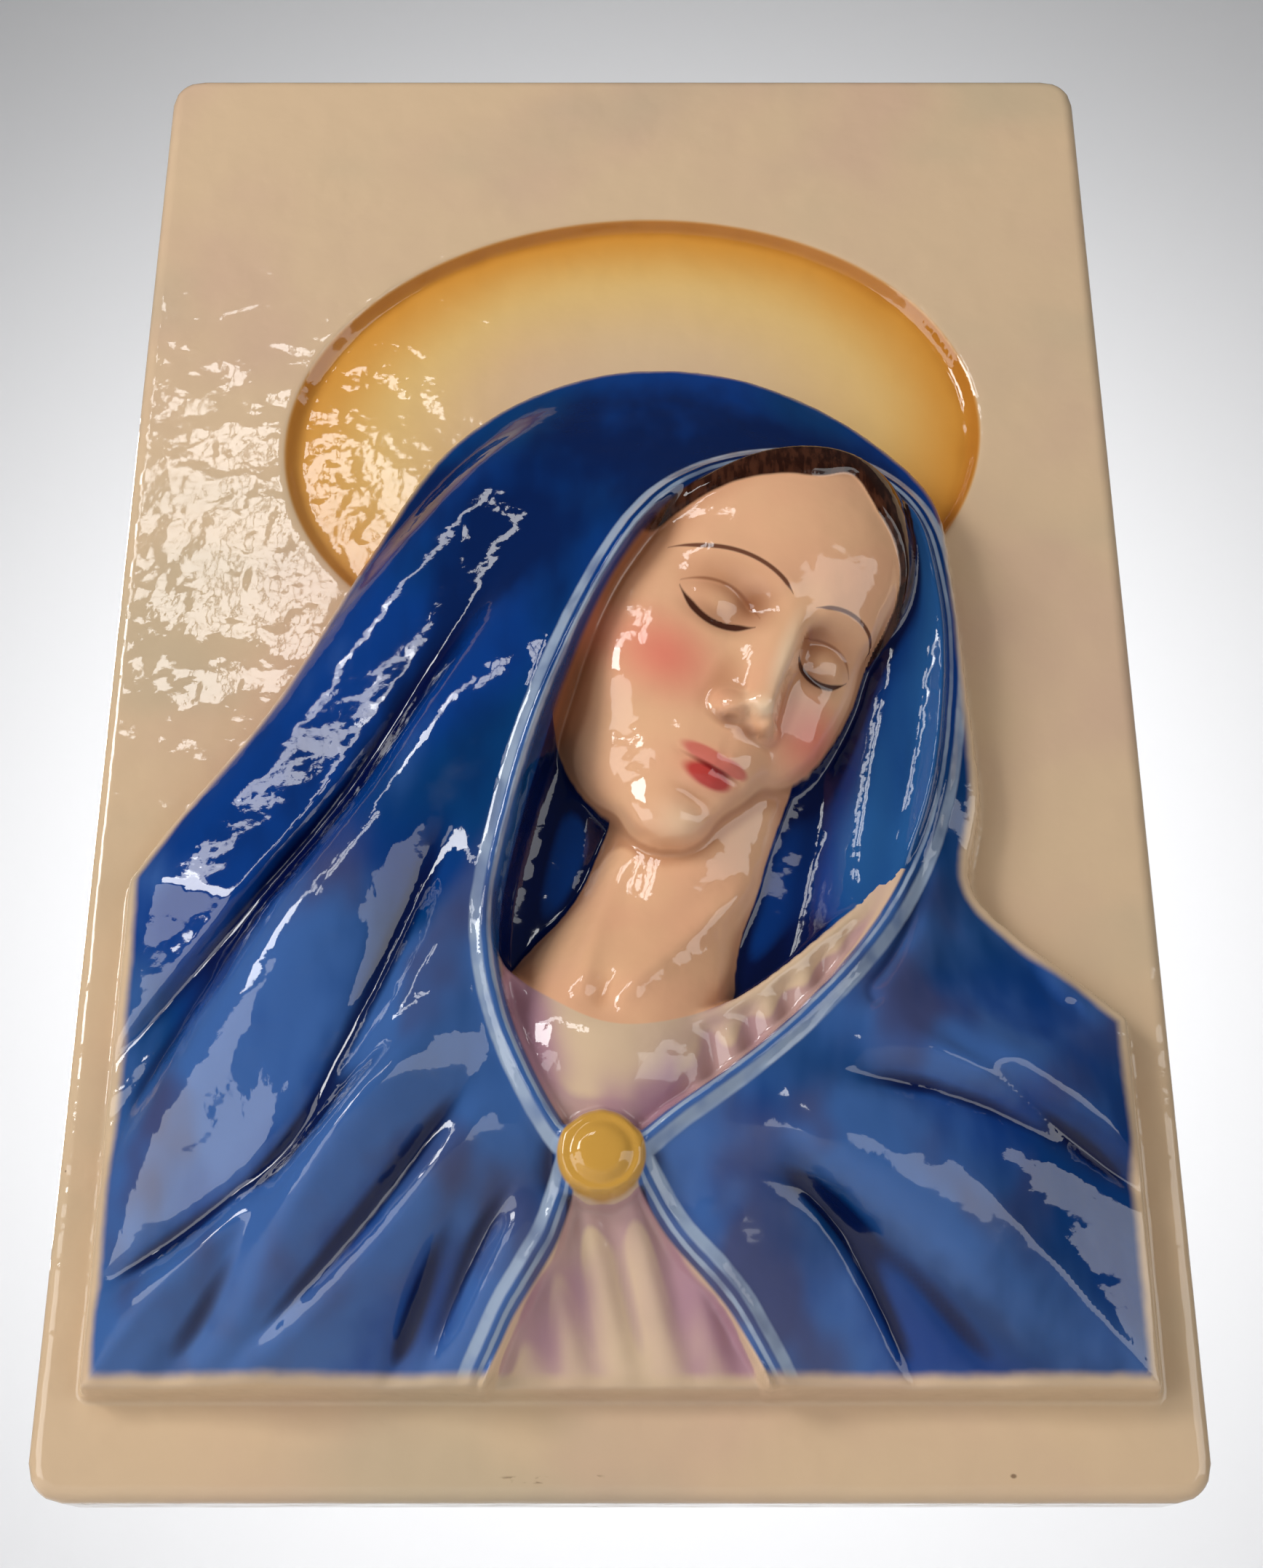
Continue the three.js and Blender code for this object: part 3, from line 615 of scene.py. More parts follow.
def casting_mesh(form):
    """The whole casting as one closed mesh, with its painted fields as attributes."""
    u, v, height, fields, points = relief(form)
    allowed = form.fineness
    near_face = np.where(fields["head"] > 0, height, 0)
    size = cell_sizes([(height, allowed), (near_face, allowed * 0.6)])
    faces = front_faces(size)
    used = np.zeros(u.size, bool)
    used[np.concatenate([np.array(f) for f in faces])] = True
    edge = edge_order(used)
    number = np.cumsum(used) - 1

    places = np.stack([u, v, height], -1).reshape(-1, 3)[used]
    slope_v, slope_u = np.gradient(height, 2 * FLAT_HALF[1] / CELLS[1], 2 * FLAT_HALF[0] / CELLS[0])
    normals = np.stack([-slope_u, -slope_v, np.ones(u.shape)], -1).reshape(-1, 3)[used]
    normals /= np.linalg.norm(normals, axis=1)[:, None]
    faces = [number[f].tolist() for f in faces]
    glazed = [True] * len(faces)

    columns = CELLS[0] + 1
    edge_cells = np.array([(i % columns, i // columns) for i in edge])
    last = number[edge].tolist()
    for ring, facing, is_glazed in side_rings(edge_cells / CELLS * 2 - 1):
        start = len(places)
        places, normals = np.vstack([places, ring]), np.vstack([normals, facing])
        here = list(range(start, start + len(ring)))
        for i in range(len(here)):
            j = (i + 1) % len(here)
            faces.append([last[i], here[i], here[j], last[j]])
            glazed.append(is_glazed)
        last = here
    faces.append(last[::-1])
    glazed.append(False)

    mesh = bpy.data.meshes.new("plaque_glazed")
    upright = np.stack([places[:, 0], -SLAB_THICKNESS - places[:, 2], places[:, 1] + MIDDLE_UP], -1)
    turned = np.stack([normals[:, 0], -normals[:, 2], normals[:, 1]], -1)
    mesh.from_pydata((upright / 1000).tolist(), [], faces)
    mesh.polygons.foreach_set("use_smooth", [True] * len(faces))
    mesh.polygons.foreach_set("material_index", [0 if g else 1 for g in glazed])
    outside = len(places) - int(used.sum())
    for name, field in fields.items():
        values = np.concatenate([field.reshape(-1)[used], np.full(outside, FAR_OUTSIDE)])
        if name in ("hollow", "ridge"):
            values[-outside:] = 0
        mesh.attributes.new(name, "FLOAT", "POINT").data.foreach_set("value", values.astype("f4"))
    spots = np.vstack([points.reshape(-1, 3)[used], np.full((outside, 3), NO_PLACE)])
    attribute = mesh.attributes.new("on_face", "FLOAT_VECTOR", "POINT")
    attribute.data.foreach_set("vector", spots.astype("f4").reshape(-1))
    mesh.update()
    mesh.normals_split_custom_set_from_vertices(turned.tolist())
    return mesh


# --------------------------------------------------------------------------- node helpers

class Nodes:
    """Adds nodes to a tree and links them as they are made."""

    def __init__(self, tree):
        self.tree = tree

    def add(self, kind, inputs=(), **settings):
        node = self.tree.nodes.new(kind)
        for name, value in settings.items():
            setattr(node, name, value)
        for socket, value in (inputs.items() if isinstance(inputs, dict) else enumerate(inputs)):
            if isinstance(value, bpy.types.NodeSocket):
                self.tree.links.new(value, node.inputs[socket])
            elif value is not None:
                node.inputs[socket].default_value = value
        return node

    def math(self, operation, *values, clamp=False):
        return self.add("ShaderNodeMath", values, operation=operation, use_clamp=clamp).outputs[0]

    def ease(self, value, low, high, start=0.0, end=1.0):
        """start up to low, end from high on, and a smooth change between."""
        node = self.add("ShaderNodeMapRange", {0: value, 1: low, 2: high, 3: start, 4: end},
                        interpolation_type="SMOOTHSTEP")
        return node.outputs[0]

    def band(self, value, middle, half, soft):
        """1 within half of middle, fading to 0 over soft."""
        off = self.math("ABSOLUTE", self.math("SUBTRACT", value, middle))
        return self.ease(off, half - soft / 2, half + soft / 2, 1.0, 0.0)

    def mix(self, share, under, over):
        node = self.add("ShaderNodeMix", data_type="RGBA")
        for socket, value in ((0, share), (6, under), (7, over)):
            if isinstance(value, bpy.types.NodeSocket):
                self.tree.links.new(value, node.inputs[socket])
            else:
                node.inputs[socket].default_value = value
        return node.outputs[2]

    def both(self, *masks):
        product = masks[0]
        for mask in masks[1:]:
            product = self.math("MULTIPLY", product, mask)
        return product

    def field(self, name):
        return self.add("ShaderNodeAttribute", attribute_name=name).outputs["Fac"]

    def noise(self, vector, size, detail=2.0, stretch=None):
        """Noise from 0 to 1 whose patches are about size millimetres across."""
        if stretch:
            vector = self.add("ShaderNodeVectorMath", [vector, stretch], operation="MULTIPLY").outputs[0]
        return self.add("ShaderNodeTexNoise", {
            "Vector": vector, "Scale": 1 / size, "Detail": detail}).outputs["Fac"]

    def group(self, tree, place, **values):
        """The value that a node group gives at a place, with the group's own values set."""
        node = self.add("ShaderNodeGroup", node_tree=tree)
        self.tree.links.new(place, node.inputs["Place"])
        for name, value in values.items():
            node.inputs[name].default_value = value
        return node.outputs[0]

    def millimetres(self):
        place = self.add("ShaderNodeTexCoord").outputs["Object"]
        scaled = self.add("ShaderNodeVectorMath", {0: place, "Scale": 1000.0}, operation="SCALE")
        return scaled.outputs[0]


def rgba(colour):
    return (*colour, 1.0)


def effect_group(name, values, result):
    """An empty node group that takes a place and some values, its nodes, and its inputs."""
    group = bpy.data.node_groups.new(name, "ShaderNodeTree")
    group.interface.new_socket("Place", in_out="INPUT", socket_type="NodeSocketVector")
    for value in values:
        group.interface.new_socket(value, in_out="INPUT", socket_type="NodeSocketFloat")
    group.interface.new_socket(result, in_out="OUTPUT", socket_type="NodeSocketFloat")
    n = Nodes(group)
    return group, n, n.add("NodeGroupInput").outputs


def kiln_specks_group():
    """Shared by the glaze and the bare clay: fine iron specks as one mask."""
    group, n, given = effect_group("kiln_specks", ("Spacing", "Size"), "Specks")
    scale = n.math("DIVIDE", 1.0, given["Spacing"])
    cells = n.add("ShaderNodeTexVoronoi", {"Vector": given["Place"], "Scale": scale})
    lot = n.add("ShaderNodeSeparateColor", [cells.outputs["Color"]]).outputs[0]
    chosen = n.math("GREATER_THAN", lot, 0.8)
    reach = n.math("MULTIPLY", given["Size"], scale)
    dot = n.ease(cells.outputs["Distance"], n.math("MULTIPLY", reach, 0.4), reach, 1.0, 0.0)
    n.add("NodeGroupOutput", [n.math("MULTIPLY", dot, chosen)])
    return group


def surface_ripple_group():
    """Shared by the glaze and the bare clay: how the surface swells and dips."""
    group, n, given = effect_group("surface_ripple", ("Swell", "Grain"), "Height")
    place = given["Place"]
    broad = n.math("MULTIPLY", n.noise(place, 9, 1.0), given["Swell"])
    middle = n.math("MULTIPLY", n.noise(place, 3.2, 1.0), n.math("MULTIPLY", given["Swell"], 0.22))
    fine = n.math("MULTIPLY", n.noise(place, 0.7, 2.0), given["Grain"])
    n.add("NodeGroupOutput", [n.math("ADD", n.math("ADD", broad, middle), fine)])
    return group


# ------------------------------------------------------------------------------- painting

def slab_paint(n, place, colours):
    """Cream, with faint pink and grey clouds from the firing."""
    cloud = n.noise(place, 42, 3.0)
    other = n.noise(place, 60, 2.0, stretch=(1.0, 1.0, 1.7))
    warm = n.mix(n.ease(cloud, 0.42, 0.72), rgba(colours.cream), rgba(colours.cream_pink))
    return n.mix(n.math("MULTIPLY", n.ease(other, 0.5, 0.78), 0.6), warm, rgba(colours.cream_grey))


def halo_paint(n, place, under, colours):
    """Amber sprayed along the rim, fading through yellow to cream; thinner low on the left."""
    inside = n.field("halo")
    sprayed = n.math("MULTIPLY", n.math("SUBTRACT", n.noise(place, 14, 2.0), 0.5), 3.0)
    depth = n.math("ADD", inside, sprayed)
    where = n.add("ShaderNodeSeparateXYZ", [place])
    lean = n.math("ADD", where.outputs[2], n.math("MULTIPLY", where.outputs[0], 0.55))
    strong = n.ease(lean, -165, -80, 0.65, 1.0)
    rim = n.ease(inside, 0.1, 0.9)
    glow = n.both(rim, n.ease(depth, 10, 46, 1.0, 0.0), n.ease(lean, -185, -100, 0.5, 1.0))
    rust = n.both(rim, n.ease(depth, 1.0, 5.0, 1.0, 0.0), strong)
    amber = n.both(rim, n.ease(depth, 2.0, 21.0, 1.0, 0.0), strong)
    under = n.mix(n.math("MULTIPLY", glow, 0.85), under, rgba(colours.halo_yellow))
    under = n.mix(n.math("MULTIPLY", amber, 0.9), under, rgba(colours.halo_amber))
    return n.mix(n.math("MULTIPLY", rust, 0.55), under, rgba(colours.halo_rust))


def cloth_paint(n, place, colours):
    """Cobalt brushed on by hand: dark where it pooled, thinner and greyer on the ridges, and
    with the brown underneath showing faintly in places. The lighter ridges and darker valleys
    are also painted highlight and painted shade along the folds."""
    hollow = n.field("hollow")
    patch = n.noise(place, 30, 3.0, stretch=(1.0, 1.0, 0.7))
    streak = n.noise(place, 10, 2.0, stretch=(1.4, 1.0, 0.5))
    hue = n.noise(place, 46, 1.0)
    under = n.noise(place, 24, 2.0, stretch=(1.2, 1.0, 0.8))
    where = n.add("ShaderNodeSeparateXYZ", [place])
    # Lighter and greyer towards the bottom, deeper blue towards the top.
    level = n.ease(where.outputs[2], -245, -125, 1.5, -1.1)
    # Lighter on the ridges and deeper in the valleys: thin and thick cobalt, and painted highlight and
    # shade along the folds.
    level = n.math("ADD", n.math("MULTIPLY", n.field("ridge"), 0.3), level)
    low_right = n.both(n.ease(where.outputs[0], 35, 75), n.ease(where.outputs[2], -240, -205, 1.0, 0.0))
    level = n.math("SUBTRACT", level, n.math("MULTIPLY", low_right, 1.5))
    level = n.math("ADD", level, n.math("MULTIPLY", n.math("SUBTRACT", patch, 0.5), 4.2))
    level = n.math("ADD", level, n.math("MULTIPLY", n.math("SUBTRACT", streak, 0.5), 1.3))
    full = n.mix(n.ease(hue, 0.4, 0.6), rgba(colours.blue_teal), rgba(colours.blue))
    blue = n.mix(n.ease(level, -1.3, 0.1), rgba(colours.blue_deep), full)
    thin = n.mix(n.ease(under, 0.5, 0.7), rgba(colours.blue_thin_and_painted_highlight), rgba(colours.blue_grey))
    blue = n.mix(n.math("MULTIPLY", n.ease(level, 0.2, 1.9), 0.85), blue, thin)
    # Painted shade in the hollows, where the cobalt also pools.
    return n.mix(n.ease(hollow, -1.3, -0.35, 0.9, 0.0), blue, rgba(colours.blue_pool_and_shade))


def lining_paint(n, place, colours):
    """The veil's inside, a lighter blue between its soft folds."""
    streak = n.noise(place, 16, 2.0, stretch=(1.5, 1.0, 0.5))
    # The lining's own lighter blue, laid more on the folds' crests as a painted highlight.
    level = n.math("ADD", n.math("MULTIPLY", n.field("ridge"), 0.3), n.math("SUBTRACT", streak, 0.5))
    blue = n.mix(n.ease(level, -0.7, 0.45), rgba(colours.blue), rgba(colours.lining))
    # Painted shade in the lining's hollows, where the cobalt also pools.
    return n.mix(n.ease(n.field("hollow"), -1.2, -0.3, 0.9, 0.0), blue, rgba(colours.blue_pool_and_shade))


def skin_paint(n, place, colours):
    """Flesh with soft shading in the hollows and beside the veil."""
    tone = n.noise(place, 14, 2.0)
    skin = n.mix(n.ease(tone, 0.35, 0.7), rgba(colours.skin), rgba(colours.skin_warm))
    skin = n.mix(n.ease(n.field("gap"), 1.0, 9.0, 0.7, 0.0), skin, rgba(colours.skin_shade))
    skin = n.mix(n.ease(n.field("hollow"), -1.2, -0.1, 0.75, 0.0), skin, rgba(colours.skin_shade))
    # Painted shade along the veil's edge.
    return n.mix(n.ease(n.field("gap"), 0.3, 3.6, 0.85, 0.0), skin, rgba(colours.skin_deep_shade))


def stroke(n, across, up, middle, radius, start, end, half, soft, over):
    """A painted arc over or under middle, tapering at both ends."""
    du = n.math("SUBTRACT", across, middle[0])
    dv = n.math("SUBTRACT", up, middle[1])
    far = n.math("SQRT", n.math("ADD", n.math("MULTIPLY", du, du), n.math("MULTIPLY", dv, dv)))
    taper_in, taper_out = n.ease(across, start, start + 3.0), n.ease(across, end - 4.0, end, 1.0, 0.0)
    taper = n.math("MINIMUM", taper_in, taper_out)
    off = n.math("ABSOLUTE", n.math("SUBTRACT", far, radius))
    inside = n.math("SUBTRACT", n.math("MULTIPLY", taper, half), off)
    side = n.math("GREATER_THAN" if over else "LESS_THAN", dv, 0.0)
    return n.both(n.ease(inside, -soft, soft), n.math("GREATER_THAN", taper, 0.02), side)


def blot(n, across, up, middle, radii, inner):
    """A soft oval, 1 within inner of its size and 0 at its edge."""
    du = n.math("DIVIDE", n.math("SUBTRACT", across, middle[0]), radii[0])
    dv = n.math("DIVIDE", n.math("SUBTRACT", up, middle[1]), radii[1])
    far = n.math("SQRT", n.math("ADD", n.math("MULTIPLY", du, du), n.math("MULTIPLY", dv, dv)))
    return n.ease(far, inner, 1.0, 1.0, 0.0)


# Soft spots of colour on each half of the face, in the head's own frame: middle, radii, the
# share of the radii that is evenly filled, strength and colour. Besides blush and lips they
# hold painted shade in the sockets, along the lashes, beside and under the nose and under the
# lips, and painted highlights on the nose's ridge and tip and on the chin. Then its fine arcs:
# middle, radius, where it starts and ends across, half width, softness, whether it runs over
# its middle, strength and colour; the second arc is painted shade in the lids' crease.
FACE_SPOTS = [
    ((17, -14), (14, 11.5), 0.0, 0.95, "blush"),
    ((13, 3.5), (12.5, 8.0), 0.0, 0.75, "skin_shade"),
    # Painted shade in the inner sockets and along the lashes.
    ((7.0, 2.5), (5.0, 6.5), 0.0, 0.7, "skin_deep_shade"),
    ((12.4, -3.2), (9.0, 3.6), 0.0, 0.55, "skin_deep_shade"),
    ((12.6, 0.4), (5.0, 2.4), 0.0, 0.5, "skin"),
    ((6.2, -12), (3.2, 7.5), 0.0, 0.5, "skin_shade"),
    # Painted shade under the nose.
    ((2.6, -19.4), (4.4, 2.2), 0.0, 0.7, "skin_deep_shade"),
    # Painted highlights on the nose's ridge and tip and on the chin.
    ((0, -4), (2.8, 14), 0.0, 0.75, "skin_painted_highlight"),
    ((0, -14.5), (4.2, 3.4), 0.0, 0.9, "skin_painted_highlight"),
    ((0, -40), (8, 5.5), 0.0, 0.5, "skin_painted_highlight"),
    ((0, -34.6), (6.5, 1.8), 0.0, 0.5, "skin_shade"),
    ((0, -29), (9.4, 5.6), 0.3, 0.35, "blush"),
    ((2.6, -27.0), (5.7, 1.8), 0.6, 0.85, "lips_pink"),
    ((0, -30.3), (6.2, 2.4), 0.6, 0.92, "lips"),
    ((0, -28.6), (7.4, 0.8), 0.2, 0.9, "lips_deep"),
]
FACE_ARCS = [
    ((12.2, 6.2), 10.1, 4.8, 20.2, 0.62, 0.25, False, 0.97, "lash"),
    # Painted shade in the lids' crease.
    ((12.2, -6.6), 10.6, 4.6, 20.4, 0.3, 0.3, True, 0.75, "skin_deep_shade"),
    ((11.6, -4.6), 15.6, 2.4, 24.0, 0.42, 0.2, True, 0.92, "brow"),
]


def face_paint(n, colour, colours):
    """Blush, lips, brows and lashes over the skin, with painted shade and painted highlights,
    laid out on the head's own frame.
    """
    spot = n.add("ShaderNodeAttribute", attribute_name="on_face").outputs["Vector"]
    parts = n.add("ShaderNodeSeparateXYZ", [spot])
    across, up = n.math("ABSOLUTE", parts.outputs[0]), parts.outputs[1]
    for middle, radii, inner, share, name in FACE_SPOTS:
        mask = blot(n, across, up, middle, radii, inner)
        colour = n.mix(n.math("MULTIPLY", mask, share), colour, rgba(getattr(colours, name)))
    for middle, radius, start, end, half, soft, over, share, name in FACE_ARCS:
        mask = stroke(n, across, up, middle, radius, start, end, half, soft, over)
        colour = n.mix(n.math("MULTIPLY", mask, share), colour, rgba(getattr(colours, name)))
    return colour


def dress_paint(n, place, colours):
    """Cream cloth with mauve brushed softly into its folds."""
    brushed = n.noise(place, 20, 1.0, stretch=(1.6, 1.0, 0.6))
    mauve = n.both(n.ease(n.field("ridge"), -0.9, 1.2, 1.0, 0.15), n.ease(brushed, 0.35, 0.65))
    dress = n.mix(n.math("MULTIPLY", mauve, 0.9), rgba(colours.dress), rgba(colours.mauve))
    return n.mix(n.ease(n.field("hollow"), -1.0, -0.2, 0.6, 0.0), dress, rgba(colours.mauve))


def foot_marks(n, place):
    """Small rubbed marks where the slab's lower edge has stood, and one chip to the right."""
    where = n.add("ShaderNodeSeparateXYZ", [place])
    across, up = where.outputs[0], where.outputs[2]
    rubbed = n.ease(n.noise(place, 1.6, 3.0, stretch=(0.5, 1.0, 1.0)), 0.52, 0.62)
    left = n.both(n.band(across, -16, 3.5, 2.0), n.band(up, LOW[2] + 3.6, 0.5, 0.4), rubbed)
    middle = n.both(n.band(across, -5, 2.0, 1.5), n.band(up, LOW[2] + 3.9, 0.4, 0.4), rubbed)
    chip = blot(n, across, up, (66, LOW[2] + 4.2), (0.7, 0.5), 0.4)
    return n.math("MAXIMUM", n.math("MAXIMUM", left, middle), chip)


def hair_paint(n, place, colours):
    """Brown brushed in strands."""
    lock = n.noise(place, 2.2, 2.0, stretch=(1.6, 1.0, 0.5))
    return n.mix(n.ease(lock, 0.4, 0.65), rgba(colours.hair), rgba(colours.hair_light))


def figure_paint(n, place, wobble, colours):
    """The cloth with its striped hems, and the neck, head, tunic and clasp within it."""
    gap = n.field("gap")
    skin, dress = skin_paint(n, place, colours), dress_paint(n, place, colours)
    inner = n.mix(n.ease(n.field("neck"), -0.3, 0.3), lining_paint(n, place, colours), skin)
    inner = n.mix(n.ease(n.field("tunic"), 0.0, 0.5), inner, dress)
    hairline = n.math("ADD", n.field("hair"), n.math("MULTIPLY", wobble, 0.5))
    head = n.mix(n.ease(hairline, -0.2, 0.5), face_paint(n, skin, colours), hair_paint(n, place, colours))
    inner = n.mix(n.ease(n.field("head"), -0.3, 0.3), inner, head)
    inner = n.mix(n.ease(n.field("lap"), -0.2, 0.4), inner, dress)

    edge = n.math("ADD", gap, n.math("MULTIPLY", wobble, 0.3))
    # The thin line next to the opening is a pale stripe that is also a painted highlight along the rolled
    # hem; the wider stripe lies beyond it.
    line, stripe = n.band(edge, -1.0, 0.35, 0.35), n.band(edge, -3.3, 1.0, 0.6)
    worn = n.ease(n.noise(place, 8, 2.0), 0.3, 0.6, 0.45, 0.9)
    striped = n.math("MULTIPLY", n.math("MAXIMUM", line, stripe), worn)
    figure = n.mix(striped, cloth_paint(n, place, colours), rgba(colours.hem))
    figure = n.mix(n.ease(gap, -0.1, 0.5), figure, inner)
    gold = n.ease(n.field("hollow"), -0.7, 0.1, 0.9, 0.0)
    gold = n.mix(gold, rgba(colours.gold), rgba(colours.gold_dark))
    return n.mix(n.ease(n.field("clasp"), -0.1, 0.4), figure, gold)


def fired_material(name):
    """A new material with an empty node tree, its nodes, and the place in millimetres."""
    material = bpy.data.materials.new(name)
    material.use_nodes = True
    material.node_tree.nodes.clear()
    n = Nodes(material.node_tree)
    return material, n, n.millimetres()


def glaze_material(colours, specks, ripple):
    """Colours brushed and sprayed on the clay, under one thick, clear, slowly rippled glaze."""
    material, n, place = fired_material("painted_glaze")
    wobble = n.math("MULTIPLY", n.math("SUBTRACT", n.noise(place, 5, 2.0), 0.5), 1.1)
    slab = halo_paint(n, place, slab_paint(n, place, colours), colours)
    bare = n.ease(n.add("ShaderNodeSeparateXYZ", [place]).outputs[2], -200, -110, 1.6, 0.2)
    sprayed = n.math("ADD", n.field("figure"), n.math("MULTIPLY", wobble, 0.7))
    sprayed = n.ease(n.math("SUBTRACT", sprayed, bare), 0.0, 2.2)
    colour = n.mix(sprayed, slab, figure_paint(n, place, wobble, colours))
    colour = n.mix(n.math("MULTIPLY", foot_marks(n, place), 0.7), colour, rgba(colours.speck))
    dots = n.group(specks, place, Spacing=16.0, Size=0.32)
    colour = n.mix(n.math("MULTIPLY", dots, 0.65), colour, rgba(colours.speck))

    height = n.group(ripple, place, Swell=0.5, Grain=0.008)
    bump = n.add("ShaderNodeBump", {"Strength": 1.0, "Distance": 0.001, "Height": height})
    shader = n.add("ShaderNodeBsdfPrincipled", {
        "Base Color": colour, "Roughness": n.ease(n.noise(place, 30, 2.0), 0.3, 0.8, 0.03, 0.08),
        "IOR": 1.5, "Normal": bump.outputs[0]})
    n.add("ShaderNodeOutputMaterial", [shader.outputs[0]])
    return material


def clay_material(colours, specks, ripple):
    """Fired clay without glaze, clouded and specked, for the back."""
    material, n, place = fired_material("bare_clay")
    cloud = n.ease(n.noise(place, 38, 4.0), 0.35, 0.7)
    colour = n.mix(cloud, rgba(colours.clay), rgba(colours.clay_dark))
    dots = n.group(specks, place, Spacing=7.0, Size=0.4)
    colour = n.mix(n.math("MULTIPLY", dots, 0.6), colour, rgba(colours.speck))
    height = n.group(ripple, place, Swell=0.25, Grain=0.12)
    bump = n.add("ShaderNodeBump", {"Strength": 1.0, "Distance": 0.001, "Height": height})
    shader = n.add("ShaderNodeBsdfPrincipled", {
        "Base Color": colour, "Roughness": n.ease(cloud, 0.0, 1.0, 0.62, 0.78),
        "Normal": bump.outputs[0]})
    n.add("ShaderNodeOutputMaterial", [shader.outputs[0]])
    return material


# ---------------------------------------------------------------------- settings in the panel

def tint(name, description, default):
    return bpy.props.FloatVectorProperty(
        name=name, description=description, subtype="COLOR", size=3, min=0, max=1, default=default)


def length(name, description, default):
    return bpy.props.FloatProperty(name=name, description=description, default=default, min=0)


class PlaqueForm(bpy.types.PropertyGroup):
    """Sizes of the casting, in millimetres."""
    halo_depth: length("Halo depth", "How deep the oval halo is sunk, in mm", 2.6)
    hem_rise: length("Hem rise", "How far the rolled hem stands over the cloth, in mm", 1.7)
    softness: length("Softness", "How far the glaze rounds the modelling, in mm", 0.5)
    fineness: length("Fineness", "How far the mesh may stray from the surface, in mm", 0.05)


class PlaqueColours(bpy.types.PropertyGroup):
    """Colours painted under the clear glaze."""
    cream: tint("Cream", "The slab", (0.68, 0.49, 0.31))
    cream_pink: tint("Cream pink", "Warm clouds on the slab", (0.64, 0.44, 0.30))
    cream_grey: tint("Cream grey", "Cool clouds on the slab", (0.52, 0.42, 0.28))
    halo_rust: tint("Halo rust", "The very edge of the halo", (0.36, 0.105, 0.008))
    halo_amber: tint("Halo amber", "The halo's rim", (0.66, 0.27, 0.028))
    halo_yellow: tint("Halo yellow", "The halo inside its rim", (0.78, 0.50, 0.15))
    blue: tint("Blue", "Cobalt of the veil and mantle", (0.002, 0.039, 0.215))
    blue_teal: tint("Greenish blue", "Greener clouds in the cobalt", (0.001, 0.038, 0.15))
    blue_deep: tint("Deep blue", "Where the cobalt lies thicker", (0.001, 0.013, 0.08))
    # Painted shade in hollows, where the cobalt also pools.
    blue_pool_and_shade: tint("Pooled blue", "Cobalt pooled in hollows", (0.001, 0.003, 0.04))
    # Painted highlight on the cloth's ridges, where the cobalt also lies thin.
    blue_thin_and_painted_highlight: tint("Thin blue", "Cobalt worn thin on ridges", (0.055, 0.14, 0.38))
    blue_grey: tint("Greyed blue", "Thin cobalt over brown", (0.062, 0.072, 0.17))
    lining: tint("Lining", "The veil's inside", (0.018, 0.095, 0.28))
    # Also the painted highlight along the rolled hems.
    hem: tint("Hem", "Pale stripes on the hems", (0.34, 0.42, 0.54))
    skin: tint("Skin", "Face and neck", (0.81, 0.46, 0.26))
    skin_warm: tint("Warm skin", "Warmer parts of the skin", (0.80, 0.43, 0.25))
    # Painted highlight on the nose's ridge and tip and on the chin.
    skin_painted_highlight: tint("Light skin", "The nose's ridge and the chin", (0.93, 0.68, 0.45))
    skin_shade: tint("Shaded skin", "Sockets and under the chin", (0.52, 0.235, 0.115))
    # Painted shade along the lashes, in the sockets and the lids' crease, under the nose and beside the
    # veil.
    skin_deep_shade: tint("Deep skin", "Along the lashes and the veil", (0.26, 0.085, 0.035))
    blush: tint("Blush", "The cheeks", (0.80, 0.235, 0.155))
    lips: tint("Lips", "The lower lip", (0.50, 0.03, 0.03))
    lips_pink: tint("Pink lips", "The upper lip", (0.62, 0.13, 0.10))
    lips_deep: tint("Deep lips", "Between the lips", (0.20, 0.006, 0.008))
    lash: tint("Lashes", "The line of the lashes", (0.05, 0.012, 0.006))
    brow: tint("Brows", "The brows' fine strokes", (0.11, 0.03, 0.015))
    hair: tint("Hair", "The hair", (0.022, 0.005, 0.002))
    hair_light: tint("Light hair", "Strands in the hair", (0.065, 0.02, 0.009))
    dress: tint("Dress", "The tunic", (0.72, 0.52, 0.34))
    mauve: tint("Mauve", "Hollows of the tunic", (0.42, 0.22, 0.28))
    gold: tint("Gold", "The clasp", (0.62, 0.33, 0.06))
    gold_dark: tint("Dark gold", "Hollows of the clasp", (0.38, 0.16, 0.02))
    speck: tint("Speck", "Iron specks", (0.12, 0.06, 0.03))
    clay: tint("Clay", "The bare back", (0.70, 0.62, 0.52))
    clay_dark: tint("Dark clay", "Darker clay on the back", (0.60, 0.50, 0.39))


class PlaqueStage(bpy.types.PropertyGroup):
    """Where the camera and lights stand."""
    distance: bpy.props.FloatProperty(
        name="Distance", description="From the camera to the slab", default=0.3906, unit="LENGTH")
    tilt: bpy.props.FloatProperty(
        name="Tilt", description="How far the camera looks up", default=math.radians(22.41),
        subtype="ANGLE")
    lens: bpy.props.FloatProperty(name="Lens", description="Focal length in mm", default=46.97)
    window_power: bpy.props.FloatProperty(
        name="Windows", description="Power of the near window's panes together, in W", default=0.55)
    soft_power: bpy.props.FloatProperty(
        name="Soft lights", description="Power that the soft lights' shares are of, in W", default=17.8)


# ------------------------------------------------------------------------------ operators

